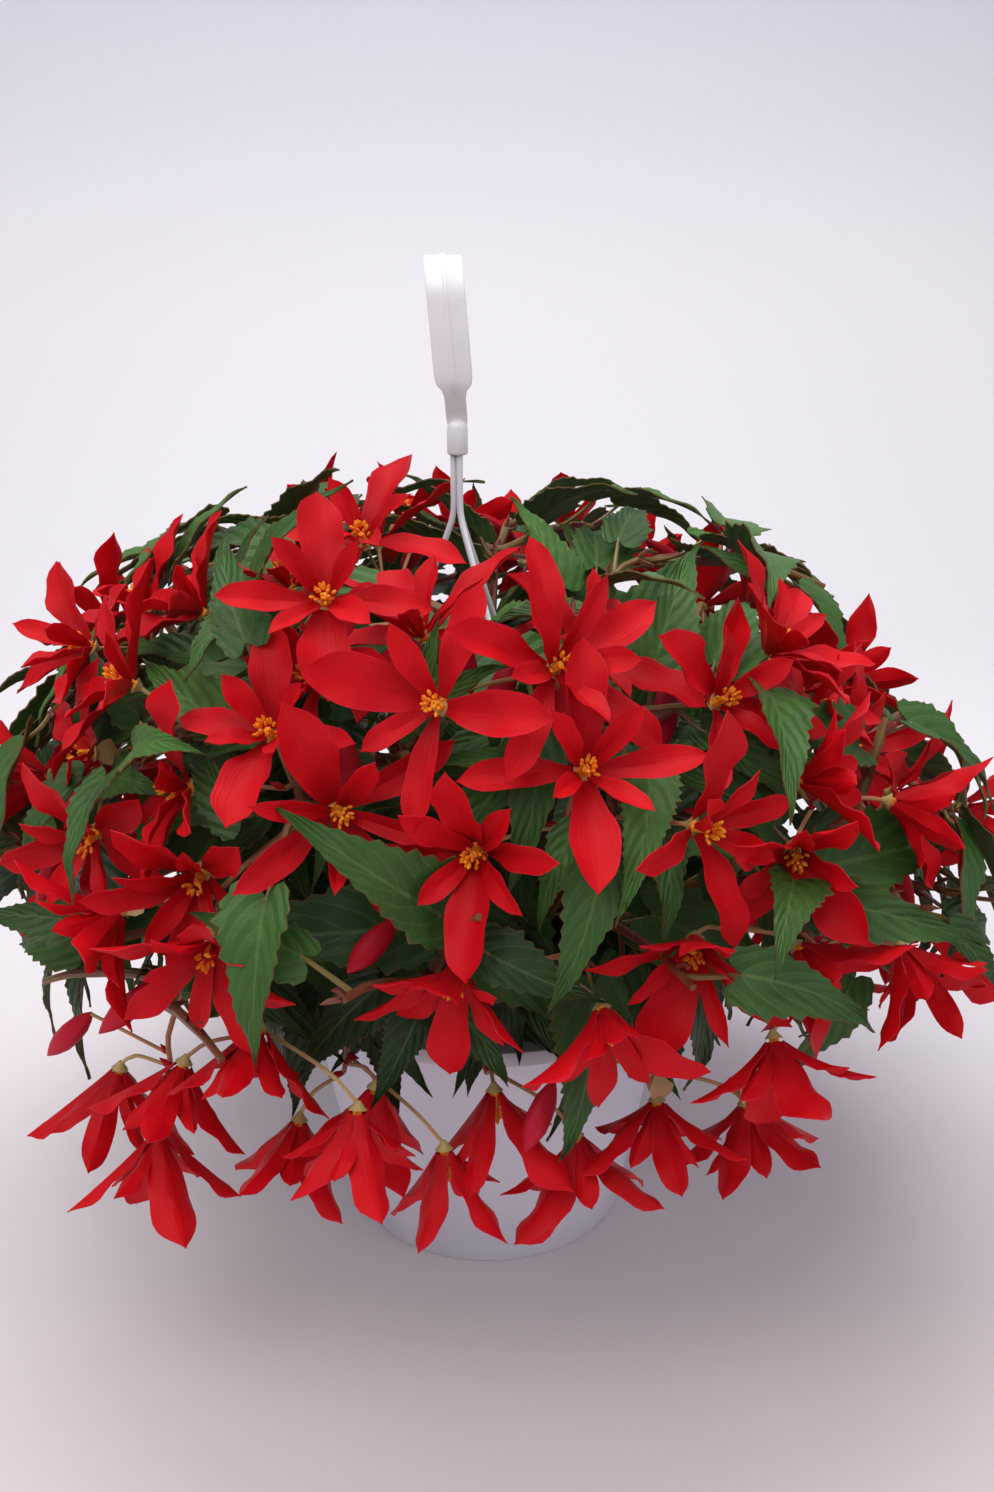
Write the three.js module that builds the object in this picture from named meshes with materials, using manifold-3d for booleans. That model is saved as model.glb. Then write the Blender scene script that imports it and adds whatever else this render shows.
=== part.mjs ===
// A trailing begonia in full flower, in a white plastic hanging pot with its hanger
// Millimetres, +Z up, the origin in the middle of the pot's base, -Y is the front

import * as THREE from 'three';
import { mergeVertices } from 'three/addons/utils/BufferGeometryUtils.js';
import Module from 'manifold-3d';

const wasm = await Module();
wasm.setup();

// Driving dimensions of the pot and what fills it
const GAP = 0.3;
const POT = { base: 75, top: 103, height: 150, wall: 1.8, floor: 2.2, chamfer: 1.6, sides: 24 };
const POT_LINE = { height: 96, step: 0.5 };
const POT_BAND = { height: 109, step: 1.1 };
const POT_RIM = { reach: 114, thickness: 4, lip: 8, edge: 1.6 };
const DRAIN = { radius: 4.5, ring: 48, count: 4 };
const HOLE_SIDES = 8;
const SOIL_TOP = 130;

// Driving dimensions of the hanger
const HANGER_X = -15;
const STRAND = { radius: 1.6, sides: 6, bundle: 2.05, parting: 388, top: 429, hole: 2.2, ring: 108.4 };
const STRAND_BARB = { radius: 2.6, top: 144, height: 5 };
const STRAND_WAYS = { left: 180, front: 300, back: 60 };
const SOCKET = { bottom: 419, top: 435, radius: 5.2, mouth: 4.3 };
const HOOK = {
  neck: 10.4,
  width: 18.6,
  thickness: 2.8,
  rib: 1,
  crease: 453,
  bend: 19.2,
  top: 511,
  lean: -0.083,
  turn: 2,
};

// Driving dimensions of the plant
const STEM = { radius: 3, tip: 1.5, sides: 4, sunk: 6, wander: 14 };
const PETIOLE = { radius: 1.3, sides: 3, length: 14, growth: 12 };
const STALK = { radius: 1.3, pedicel: 0.95, sides: 3 };
const FORK = { first: 2, step: 4 };
const HOLD = { first: 40, step: 9, seat: 0.9, heel: 3, nearest: 24, tried: 14 };
const LEAF = { length: 84, breadth: 0.42, rib: 0.75, fold: 0.3, spacing: 39, lowest: 34, clear: 0.95 };
const TEPAL = { length: 50, outer: 19, inner: 13, keel: 1.5, foot: 3.6, cup: 0.25 };
const BLOOM = { open: 48, openDraw: 26, closing: 28, female: 0.22, tuft: 13, clear: 0.6, least: -0.4 };
const BUD = { length: 34, width: 12, sides: 5 };
const DOME_CENTRE = 140;

// Stems by compass angle, reach and height of the tip: the top ones, the middle ones, the low ones
const TIERS = {
  top: { ring: 20, lean: 0.2, rise: 205, shoulder: 0.55, drop: 30, droop: 0.1 },
  middle: { ring: 46, lean: 0.16, rise: 150, shoulder: 0.62, drop: 62, droop: 0.3 },
  low: { ring: 74, lean: 0.1, rise: 84, shoulder: 0.72, drop: 88, droop: 0.8 },
  rim: { ring: 62, lean: 0.2, rise: 96, shoulder: 0.7, drop: 60, droop: 1.2 },
};
const STEMS = [
  { tier: 'top', azimuth: 150, reach: 132, height: 350 },
  { tier: 'top', azimuth: 18, reach: 100, height: 358 },
  { tier: 'top', azimuth: 258, reach: 92, height: 352 },
  { tier: 'top', azimuth: 88, reach: 120, height: 348 },
  { tier: 'middle', azimuth: 216, reach: 206, height: 292 },
  { tier: 'middle', azimuth: 322, reach: 206, height: 276 },
  { tier: 'middle', azimuth: 169, reach: 196, height: 296 },
  { tier: 'middle', azimuth: 0, reach: 196, height: 256 },
  { tier: 'middle', azimuth: 124, reach: 212, height: 278 },
  { tier: 'middle', azimuth: 52, reach: 212, height: 262 },
  { tier: 'middle', azimuth: 289, reach: 186, height: 312 },
  { tier: 'middle', azimuth: 248, reach: 190, height: 296 },
  { tier: 'low', azimuth: 228, reach: 214, height: 200 },
  { tier: 'low', azimuth: 262, reach: 184, height: 216 },
  { tier: 'low', azimuth: 283, reach: 186, height: 232 },
  { tier: 'low', azimuth: 309, reach: 210, height: 224 },
  { tier: 'low', azimuth: 345, reach: 196, height: 198 },
  { tier: 'low', azimuth: 196, reach: 198, height: 196 },
  { tier: 'low', azimuth: 142, reach: 208, height: 146 },
  { tier: 'low', azimuth: 70, reach: 208, height: 146 },
  { tier: 'rim', azimuth: 246, reach: 150, height: 206 },
  { tier: 'rim', azimuth: 298, reach: 152, height: 204 },
];

// Flower sprays by the middle of their blooms: hang is 0 for blooms that face out, 1 for blooms that hang
const SPRAYS = [
  { azimuth: 259, reach: 168, height: 352, blooms: 3, buds: 1, hang: 0.05 },
  { azimuth: 284, reach: 176, height: 340, blooms: 3, buds: 1, hang: 0.2 },
  { azimuth: 244, reach: 206, height: 308, blooms: 3, buds: 1, hang: 0.25 },
  { azimuth: 279, reach: 206, height: 296, blooms: 3, buds: 0, hang: 0.3 },
  { azimuth: 226, reach: 146, height: 362, blooms: 3, buds: 1, hang: 0.05 },
  { azimuth: 310, reach: 178, height: 322, blooms: 3, buds: 1, hang: 0.15 },
  { azimuth: 312, reach: 226, height: 288, blooms: 3, buds: 1, hang: 0.4 },
  { azimuth: 299, reach: 228, height: 238, blooms: 2, buds: 0, hang: 0.5 },
  { azimuth: 313, reach: 237, height: 204, blooms: 3, buds: 1, hang: 0.75 },
  { azimuth: 237, reach: 232, height: 250, blooms: 3, buds: 0, hang: 0.5 },
  { azimuth: 243, reach: 228, height: 176, blooms: 3, buds: 1, hang: 0.85 },
  { azimuth: 225, reach: 228, height: 128, blooms: 2, buds: 1, hang: 1 },
  { azimuth: 249, reach: 200, height: 138, blooms: 3, buds: 0, hang: 1 },
  { azimuth: 270, reach: 186, height: 136, blooms: 3, buds: 0, hang: 1 },
  { azimuth: 291, reach: 200, height: 136, blooms: 3, buds: 1, hang: 1 },
  { azimuth: 228, reach: 208, height: 330, blooms: 2, buds: 0, hang: 0.2 },
  { azimuth: 192, reach: 186, height: 336, blooms: 3, buds: 1, hang: 0.15 },
  { azimuth: 196, reach: 60, height: 372, blooms: 2, buds: 1, hang: 0 },
  { azimuth: 208, reach: 222, height: 276, blooms: 3, buds: 2, hang: 0.4 },
  { azimuth: 333, reach: 226, height: 252, blooms: 3, buds: 1, hang: 0.45 },
  { azimuth: 274, reach: 216, height: 226, blooms: 2, buds: 1, hang: 0.6 },
  { azimuth: 352, reach: 176, height: 288, blooms: 3, buds: 1, hang: 0.15 },
  { azimuth: 350, reach: 220, height: 206, blooms: 3, buds: 1, hang: 0.8 },
  { azimuth: 34, reach: 168, height: 318, blooms: 2, buds: 0, hang: 0.15 },
  { azimuth: 22, reach: 220, height: 234, blooms: 3, buds: 1, hang: 0.5 },
  { azimuth: 60, reach: 228, height: 200, blooms: 2, buds: 1, hang: 0.8 },
  { azimuth: 74, reach: 200, height: 326, blooms: 3, buds: 1, hang: 0.25 },
  { azimuth: 96, reach: 228, height: 240, blooms: 2, buds: 0, hang: 0.6 },
  { azimuth: 110, reach: 160, height: 352, blooms: 3, buds: 1, hang: 0.1 },
  { azimuth: 132, reach: 218, height: 180, blooms: 2, buds: 1, hang: 0.9 },
  { azimuth: 150, reach: 212, height: 304, blooms: 2, buds: 1, hang: 0.3 },
  { azimuth: 172, reach: 222, height: 226, blooms: 3, buds: 1, hang: 0.6 },
];

// Vectors as plain triples

const add = (a, b, scale = 1) => [a[0] + b[0] * scale, a[1] + b[1] * scale, a[2] + b[2] * scale];
const sub = (a, b) => add(a, b, -1);
const times = (a, k) => [a[0] * k, a[1] * k, a[2] * k];
const dot = (a, b) => a[0] * b[0] + a[1] * b[1] + a[2] * b[2];
const cross = (a, b) => [a[1] * b[2] - a[2] * b[1], a[2] * b[0] - a[0] * b[2], a[0] * b[1] - a[1] * b[0]];
const size = (a) => Math.sqrt(dot(a, a));
const unit = (a) => times(a, 1 / Math.max(size(a), 1e-9));
const blend = (a, b, t) => add(times(a, 1 - t), b, t);
const square = (a, axis) => unit(add(a, axis, -dot(a, axis)));
const radians = (degrees) => (degrees * Math.PI) / 180;
const place = (azimuth, reach, z) => [
  reach * Math.cos(radians(azimuth)),
  reach * Math.sin(radians(azimuth)),
  z,
];

// v turned about a unit axis, by the right-hand rule
function turned(v, axis, angle) {
  const c = Math.cos(angle);
  const s = Math.sin(angle);
  const along = times(axis, dot(v, axis) * (1 - c));
  return add(add(times(v, c), cross(axis, v), s), along);
}

// Seeded draws between 0 and 1, the same on every machine
function drawsFrom(seed) {
  let state = (seed * 2654435761) % 4294967296;
  return () => {
    state = (state * 1664525 + 1013904223) % 4294967296;
    return state / 4294967296;
  };
}

function bezier(p, t) {
  const q = 1 - t;
  const near = blend(p[0], p[1], t);
  const middle = blend(p[1], p[2], t);
  const far = blend(p[2], p[3], t);
  return add(times(blend(near, middle, t), q), blend(middle, far, t), t);
}

const numbered = (index) => String(index + 1).padStart(2, '0');

const bezierPoints = (p, steps) => Array.from({ length: steps + 1 }, (_, i) => bezier(p, i / steps));

const lengthOf = (points) => points.slice(1).reduce((sum, p, i) => sum + size(sub(p, points[i])), 0);

// Points every step along a polyline, without the stretch up to start
function spaced(points, step, start = 0) {
  const out = [];
  let wanted = start;
  let passed = 0;
  for (let i = 1; i < points.length; i += 1) {
    const length = size(sub(points[i], points[i - 1]));
    while (wanted <= passed + length) {
      out.push(blend(points[i - 1], points[i], (wanted - passed) / Math.max(length, 1e-9)));
      wanted += step;
    }
    passed += length;
  }
  return out;
}

// Room in the bush: what is placed so far, as balls in a grid of cells

const CELL = 9;
const BALL_STEP = 3.5;
const MARGIN = 1;
const SHEET = 1.9;
const FROM_POT = 3;
const FROM_FLOOR = 12;
const cells = new Map();
const cellOf = (x) => Math.floor(x / CELL);

function occupy(balls, owner) {
  for (const [point, radius] of balls) {
    const key = point.map(cellOf).join();
    if (!cells.has(key)) cells.set(key, []);
    cells.get(key).push([point, radius, owner]);
  }
}

// Radius of the pot's outside at a height, with its rim
function potRadius(z) {
  if (z > POT.height + FROM_POT) return 0;
  if (z > POT.height - POT_RIM.lip - FROM_POT) return POT_RIM.reach;
  return POT.base + ((POT.top - POT.base) * z) / POT.height + POT_BAND.step;
}

// The least gap between the balls and what is placed, or the first one under least
function room(balls, least, skipped = null) {
  let found = CELL;
  for (const [point, radius] of balls) {
    const reach = Math.hypot(point[0], point[1]);
    const overSoil = point[2] > SOIL_TOP + radius && reach < POT.top - POT.wall - radius - FROM_POT;
    if (!overSoil) found = Math.min(found, reach - potRadius(point[2]) - radius);
    found = Math.min(found, point[2] - FROM_FLOOR - radius);
    if (found < least) return found;
    const [cx, cy, cz] = point.map(cellOf);
    for (let x = cx - 1; x <= cx + 1; x += 1) {
      for (let y = cy - 1; y <= cy + 1; y += 1) {
        for (let z = cz - 1; z <= cz + 1; z += 1) {
          for (const [other, otherRadius, owner] of cells.get(`${x},${y},${z}`) ?? []) {
            if (owner === skipped) continue;
            found = Math.min(found, size(sub(point, other)) - radius - otherRadius);
          }
        }
      }
    }
    if (found < least) return found;
  }
  return found;
}

const tubeBalls = (points, radius, start = 0) =>
  spaced(points, BALL_STEP, start).map((point) => [point, radius + MARGIN]);

// The hanger's three strands, each from the socket to its hole in the rim

function strandRoute(azimuth) {
  const top = add([HANGER_X, 0, 0], place(azimuth, STRAND.bundle, 0));
  const foot = place(azimuth, STRAND.ring, 0);
  const at = (p, z) => [p[0], p[1], z];
  const bendEnd = blend(at(top, STRAND.parting), at(foot, POT.height + 9), 0.1);
  return [
    at(top, STRAND.top),
    at(top, STRAND.parting + 8),
    ...bezierPoints(
      [at(top, STRAND.parting + 8), at(top, STRAND.parting), at(top, STRAND.parting), bendEnd],
      2
    ).slice(1),
    at(foot, POT.height + 9),
    at(foot, POT.height + 3),
    at(foot, STRAND_BARB.top - STRAND_BARB.height + 1),
  ];
}

// Stems: up out of the soil, over in an arch and down to the tip

function layStem({ tier, azimuth, reach, height }, index) {
  const { ring, lean, rise, shoulder, drop } = TIERS[tier];
  const draw = drawsFrom(100 + index);
  const wander = (draw() - 0.5) * STEM.wander;
  const foot = place(azimuth, ring, SOIL_TOP + STEM.sunk);
  const apex = Math.max(height + drop * 0.6, SOIL_TOP + rise);
  const arch = [
    foot,
    place(azimuth + wander, ring + (reach - ring) * lean, SOIL_TOP + rise),
    place(azimuth + wander, ring + (reach - ring) * shoulder, apex),
    place(azimuth, reach, height),
  ];
  const points = [add(foot, [0, 0, -2 * STEM.sunk]), ...bezierPoints(arch, 6)];
  return { name: `leafy_stem_${numbered(index)}`, points, leaves: [], droop: TIERS[tier].droop, draw };
}

const stemRadius = (share) => STEM.radius + (STEM.tip - STEM.radius) * share;

const outwards = (point) => unit(sub(point, [0, 0, DOME_CENTRE]));

// Blooms: tepals around an axis, with the widths and angles of male and female flowers

function makeBloom(base, facing, hang, spin, draw) {
  const female = draw() < BLOOM.female;
  const count = female ? 5 : 4;
  const open = radians(BLOOM.open + draw() * BLOOM.openDraw - hang * BLOOM.closing);
  const stretch = 0.86 + draw() * 0.24;
  const side = square(Math.abs(facing[2]) > 0.9 ? [1, 0, 0] : [0, 0, 1], facing);
  const tepals = [];
  for (let i = 0; i < count; i += 1) {
    const outer = !female && i % 2 === 0;
    const angle = radians(spin + (i * 360) / count + (draw() - 0.5) * 14);
    const away = turned(side, facing, angle);
    const tilt = open * (outer ? 0.9 : 1.12) + (draw() - 0.5) * 0.24;
    const heading = add(times(facing, Math.cos(tilt)), away, Math.sin(tilt));
    const inner = add(times(facing, Math.sin(tilt)), away, -Math.cos(tilt));
    tepals.push({
      base: add(base, away, TEPAL.foot),
      heading,
      inner,
      length: TEPAL.length * stretch * (outer ? 1 : 0.93),
      width: (outer ? TEPAL.outer : TEPAL.inner + (female ? 2 : 0)) * (0.88 + draw() * 0.24),
      curl: 0.15 + draw() * 0.55,
    });
  }
  return { base, facing, female, tepals };
}

// A point on a tepal's inner face: u runs from its foot to its tip, v across it
const TEPAL_WIDTHS = [0.26, 0.52, 0.74, 0.9, 1, 0.98, 0.72, 0];

function tepalWidth(u) {
  const at = Math.min(Math.max(u, 0), 1) * (TEPAL_WIDTHS.length - 1);
  const i = Math.min(Math.floor(at), TEPAL_WIDTHS.length - 2);
  return TEPAL_WIDTHS[i] + (TEPAL_WIDTHS[i + 1] - TEPAL_WIDTHS[i]) * (at - i);
}

// The middle line of a blade that bends evenly away from its upper face
function bent({ base, heading, upper, length, bend }, u) {
  const angle = bend * u;
  const reach = Math.abs(bend) < 1e-4 ? u * length : (Math.sin(angle) / bend) * length;
  const fall = Math.abs(bend) < 1e-4 ? 0 : ((1 - Math.cos(angle)) / bend) * length;
  const point = add(add(base, heading, reach), upper, -fall);
  return { point, upper: add(times(upper, Math.cos(angle)), heading, Math.sin(angle)) };
}

function tepalPoint(tepal, u, v) {
  const { base, heading, inner, length, curl } = tepal;
  const { point, upper } = bent({ base, heading, upper: inner, length, bend: curl }, u);
  const across = cross(heading, inner);
  const half = (tepal.width / 2) * tepalWidth(u);
  return add(add(point, across, half * v), upper, half * TEPAL.cup * v * v);
}

function bloomBalls(bloom) {
  const balls = [];
  for (const tepal of bloom.tepals) {
    const rows = Math.round(tepal.length / 4.4);
    for (let row = 1; row <= rows; row += 1) {
      const u = row / rows;
      const columns = Math.max(Math.round((tepal.width * tepalWidth(u)) / 5), 1);
      for (let column = 0; column <= columns; column += 1) {
        const v = columns === 1 ? 0.5 * (column * 2 - 1) : (column * 2) / columns - 1;
        balls.push([tepalPoint(tepal, u, v), SHEET]);
      }
    }
  }
  return balls;
}

// Where a spray's stalk may leave a stem, nearest first

function holdsFor(stems, joint) {
  const holds = [];
  for (const stem of stems) {
    const points = spaced(stem.points, HOLD.step, HOLD.first);
    const total = lengthOf(stem.points);
    for (let i = 1; i < points.length; i += 1) {
      const tangent = unit(sub(points[i], points[i - 1]));
      const way = sub(joint, points[i]);
      const distance = size(way);
      if (distance < HOLD.nearest) continue;
      const inward = Math.hypot(joint[0], joint[1]) - Math.hypot(points[i][0], points[i][1]);
      const cost = distance + Math.max(0, -inward) * 1.5 + Math.max(0, way[2]) * 0.25;
      const radius = stemRadius((HOLD.first + HOLD.step * i) / total);
      holds.push({ cost, stem, point: points[i], tangent, radius });
    }
  }
  return holds.sort((a, b) => a.cost - b.cost).slice(0, HOLD.tried);
}

const FANS = {
  1: [[0, 0]],
  2: [[-25, 7], [25, -7]],
  3: [[-35, -8], [3, 17], [35, -6]],
};
const BUD_FANS = [[-14, 30], [18, -28]];
const CLEAR_OF_STEM = 8;
const CLEAR_OF_FORK = 14;
const BLOOM_SPINS = 12;
const BLOOM_SHIFTS = 5;
const BLOOM_ASIDES = [0, 18, -18];
const BLOOM_LEANS = [0, 0.3, -0.3, 0.15];
const BUD_TRIES = 10;

function laySpray(spec, index, stems) {
  const { azimuth, reach, height, hang } = spec;
  const name = `flower_spray_${numbered(index)}`;
  const draw = drawsFrom(200 + index);
  const target = place(azimuth, reach, height);
  const out = outwards(target);
  const side = unit(cross([0, 0, 1], out));
  const up = cross(out, side);

  const joint = add(add(target, out, -24), [0, 0, 1], 6 + 26 * hang);
  let best = null;
  for (const hold of holdsFor(stems, joint)) {
    const away = square(sub(joint, hold.point), hold.tangent);
    const foot = add(hold.point, away, hold.radius * HOLD.seat + GAP);
    const heel = add(foot, away, HOLD.heel);
    const middle = add(blend(foot, joint, 0.55), out, 4 + 6 * hang);
    const stalk = [foot, ...bezierPoints([heel, add(heel, away, 6), middle, joint], 3)];
    const least = best ? best.gap : -99;
    const near = room(tubeBalls(stalk, STALK.radius), least, hold.stem.name);
    const gap = Math.min(near, room(tubeBalls(stalk, STALK.radius, CLEAR_OF_STEM), least));
    if (!best || gap > best.gap) best = { gap, stalk, hold };
    if (gap > 0.5) break;
  }
  const spray = { name, blooms: [], buds: [], stalk: best.stalk };
  occupy(tubeBalls(best.stalk, STALK.radius, HOLD.heel), name);

  // The first pedicel carries the stalk on, the others leave it one after another
  const end = best.stalk[best.stalk.length - 1];
  const forks = spaced([...best.stalk].reverse(), FORK.step, FORK.first + FORK.step / 2);
  const roomFor = (blades, pedicel, least) => {
    const near = room(tubeBalls(pedicel, STALK.pedicel), least, name);
    const far = room(tubeBalls(pedicel, STALK.pedicel, CLEAR_OF_FORK), least);
    return Math.min(room(blades, least), near, far);
  };

  FANS[spec.blooms].forEach(([across, along], number) => {
    const fork = spray.blooms.length ? forks[spray.blooms.length - 1] : end;
    let chosen = null;
    const tries = BLOOM_ASIDES.length * BLOOM_SHIFTS * BLOOM_SPINS;
    for (let attempt = 0; attempt < tries && !(chosen && chosen.gap > BLOOM.clear); attempt += 1) {
      const aside = BLOOM_ASIDES[Math.floor(attempt / (BLOOM_SHIFTS * BLOOM_SPINS))];
      const shift = (Math.floor(attempt / BLOOM_SPINS) % BLOOM_SHIFTS) * 7;
      const lean = BLOOM_LEANS[attempt % BLOOM_LEANS.length];
      const spin = (attempt % BLOOM_SPINS) * 27;
      const spread = unit(add(add(out, side, across / 55 + lean), up, along / 60));
      const facing = unit(blend(spread, add([0, 0, -1], spread, 0.25), hang));
      const foot = add(add(end, side, across * (1 + shift / 60) + aside), up, along);
      const base = add(foot, out, 6 + (12 + shift) * (1 - hang * 0.5));
      base[2] -= (14 + shift * 0.4) * hang;
      const bloom = makeBloom(base, facing, hang, spin, drawsFrom(1000 + index * 10 + number));
      const lift = add(blend(end, base, 0.5), blend(out, [0, 0, 1], hang), 4 + 4 * hang);
      const pedicel = bezierPoints([fork, lift, add(base, facing, -10), add(base, facing, -TEPAL.foot)], 2);
      const balls = bloomBalls(bloom);
      const gap = roomFor(balls, pedicel, chosen ? chosen.gap : -99);
      if (!chosen || gap > chosen.gap) chosen = { gap, bloom, pedicel, balls };
    }
    if (chosen.gap < BLOOM.least) return;
    spray.blooms.push({ ...chosen.bloom, pedicel: chosen.pedicel });
    occupy(chosen.balls, `${name} blooms`);
    occupy(tubeBalls(chosen.pedicel, STALK.pedicel), name);
  });

  for (let i = 0; i < (spray.blooms.length ? spec.buds : 0); i += 1) {
    const [across, along] = BUD_FANS[i];
    for (let attempt = 0; attempt < BUD_TRIES; attempt += 1) {
      const swing = (attempt - 4) * 9 * (i === 0 ? 1 : -1);
      const foot = add(add(end, side, across + swing), up, along * (1 - hang * 0.6));
      const base = add(foot, out, 10);
      const heading = unit(add(add([0, 0, -1.1], out, 0.5), side, (across + swing) / 50));
      const bud = { base, heading, flat: out, length: BUD.length * (0.8 + draw() * 0.4) };
      const lift = add(blend(end, base, 0.5), out, 5);
      const fork = forks[spray.blooms.length - 1 + spray.buds.length];
      const pedicel = bezierPoints([fork, lift, add(base, heading, -9), base], 2);
      const balls = tubeBalls([base, add(base, heading, bud.length)], BUD.width / 2);
      if (roomFor(balls, pedicel, 0) < 0) continue;
      spray.buds.push({ ...bud, pedicel });
      occupy(balls, `${name} blooms`);
      occupy(tubeBalls(pedicel, STALK.pedicel), name);
      break;
    }
  }
  return spray;
}

// Leaves: a one-sided heart drawn out to a long point, folded along its rib and arched down

const LOBE = { start: -0.07, widest: 0.16, excess: 0.16 };
const SICKLE = 0.1;

// One side of the leaf's edge, as u along the rib and share of the half breadth, tooth then notch
const LEAF_EDGE = [
  [-0.06, 0.72],
  [0.17, 1],
  [0.28, 0.74],
  [0.44, 0.74],
];

function leafHalf(u) {
  if (u < 0) return 0.5 + (u - LOBE.start) * 4;
  if (u < LOBE.widest) return 0.85 + 0.15 * (u / LOBE.widest);
  return Math.max(0, Math.pow(1 - (u - LOBE.widest) / (1 - LOBE.widest), 1.25));
}

function leafPoint(leaf, u, v) {
  const { point, upper } = bent({ ...leaf, bend: leaf.arch }, u);
  const across = cross(leaf.heading, leaf.upper);
  const sickle = leaf.side * leaf.length * SICKLE * u * u;
  const half = leaf.half * (1 + LOBE.excess * leaf.side * Math.sign(v));
  const lean = Math.sin(LEAF.fold) * Math.abs(v) * half;
  return add(add(point, across, sickle + v * half * Math.cos(LEAF.fold)), upper, lean);
}

function leafBalls(leaf) {
  const balls = [];
  const rows = Math.round(leaf.length / 4.2);
  for (let row = 0; row <= rows; row += 1) {
    const u = row / rows;
    const columns = Math.max(Math.round((leaf.half * 2 * leafHalf(u)) / 4.8), 1);
    for (let column = 0; column <= columns; column += 1) {
      const v = leafHalf(u) * ((column * 2) / columns - 1);
      balls.push([leafPoint(leaf, u, v), SHEET]);
    }
  }
  return balls;
}

const LEAF_TRIES = [
  { scale: 1, yaws: [0, 14, -12, 28, 42, -24, 58], pitches: [0, 16, -12, 32] },
  { scale: 0.8, yaws: [0, 18, -14, 36, 54, -28, 72], pitches: [0, 20, -16, 40] },
];

function layLeaf(stem, point, tangent, side, age, seed) {
  const draw = drawsFrom(seed);
  const out = outwards(point);
  const aside = times(unit(cross(out, tangent)), side);
  const full = LEAF.length * (0.82 + 0.4 * draw()) * age;
  const arch = 0.45 + draw() * 0.65;
  const tilt = draw() * 0.55;
  const spread = side === 0 ? 0 : 0.9 + 0.6 * draw();
  for (const { scale, yaws, pitches } of LEAF_TRIES) {
    for (const pitch of pitches) {
      for (const yaw of yaws) {
        for (const reachOut of [1, 0.6]) {
          const stalkWay = unit(add(add(times(tangent, 0.45), aside, 0.9), out, 0.5 + pitch / 50));
          const angle = radians(yaw) * (side || 1);
          const flat = turned(unit(add(tangent, aside, spread)), out, angle);
          const lifted = add(flat, out, 0.1 + Math.tan(radians(pitch)) * 0.6);
          const heading = unit(add(lifted, [0, 0, -1], stem.droop));
          const upper = square(add(out, aside, tilt), heading);
          const base = add(point, stalkWay, (PETIOLE.length + PETIOLE.growth * age) * reachOut);
          const length = full * scale;
          const half = (length * LEAF.breadth) / 2;
          const leaf = { base, heading, upper, length, half, arch, side: side || 1 };
          const foot = add(point, stalkWay, STEM.tip * 0.5);
          const petiole = [foot, base];
          const stalkBalls = tubeBalls(petiole, PETIOLE.radius);
          if (room(stalkBalls, LEAF.clear, stem.name) < LEAF.clear) continue;
          const balls = leafBalls(leaf);
          if (room(balls, LEAF.clear) < LEAF.clear) continue;
          stem.leaves.push({ ...leaf, petiole });
          occupy([...balls, ...stalkBalls], stem.name);
          return;
        }
      }
    }
  }
}

const LEAF_SEEDS = { first: 3000, step: 40 };
const AGE = { tip: 0.82, young: 0.8, step: 0.07, old: 1.12 };

function layLeaves(stem, index) {
  const route = spaced(stem.points, 2).reverse();
  const tangentAt = (i) => unit(sub(route[i], route[Math.min(i + 2, route.length - 1)]));
  const seed = LEAF_SEEDS.first + index * LEAF_SEEDS.step;
  layLeaf(stem, route[0], tangentAt(0), 0, AGE.tip, seed);
  let side = stem.draw() < 0.5 ? 1 : -1;
  let number = 1;
  for (let i = 5; i < route.length; i += Math.round(LEAF.spacing / 2)) {
    const point = route[i];
    if (point[2] < SOIL_TOP + LEAF.lowest && Math.hypot(point[0], point[1]) < POT_RIM.reach + 8) break;
    const age = Math.min(AGE.old, AGE.young + number * AGE.step);
    layLeaf(stem, point, tangentAt(i), side, age, seed + number);
    side = -side;
    number += 1;
  }
}

// Lay the whole plant out: strands and stems, the leaves over the rim, flowers, the other leaves

const EARLY_DROOP = 1;

for (const [way, azimuth] of Object.entries(STRAND_WAYS)) {
  occupy(tubeBalls(strandRoute(azimuth), STRAND.radius + MARGIN), way);
}
const stems = STEMS.map(layStem);
for (const stem of stems) occupy(tubeBalls(stem.points, STEM.radius), stem.name);
const early = (stem) => stem.droop >= EARLY_DROOP;
stems.forEach((stem, index) => early(stem) && layLeaves(stem, index));
const sprays = SPRAYS.map((spec, index) => laySpray(spec, index, stems));
stems.forEach((stem, index) => early(stem) || layLeaves(stem, index));

// Solids

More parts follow.
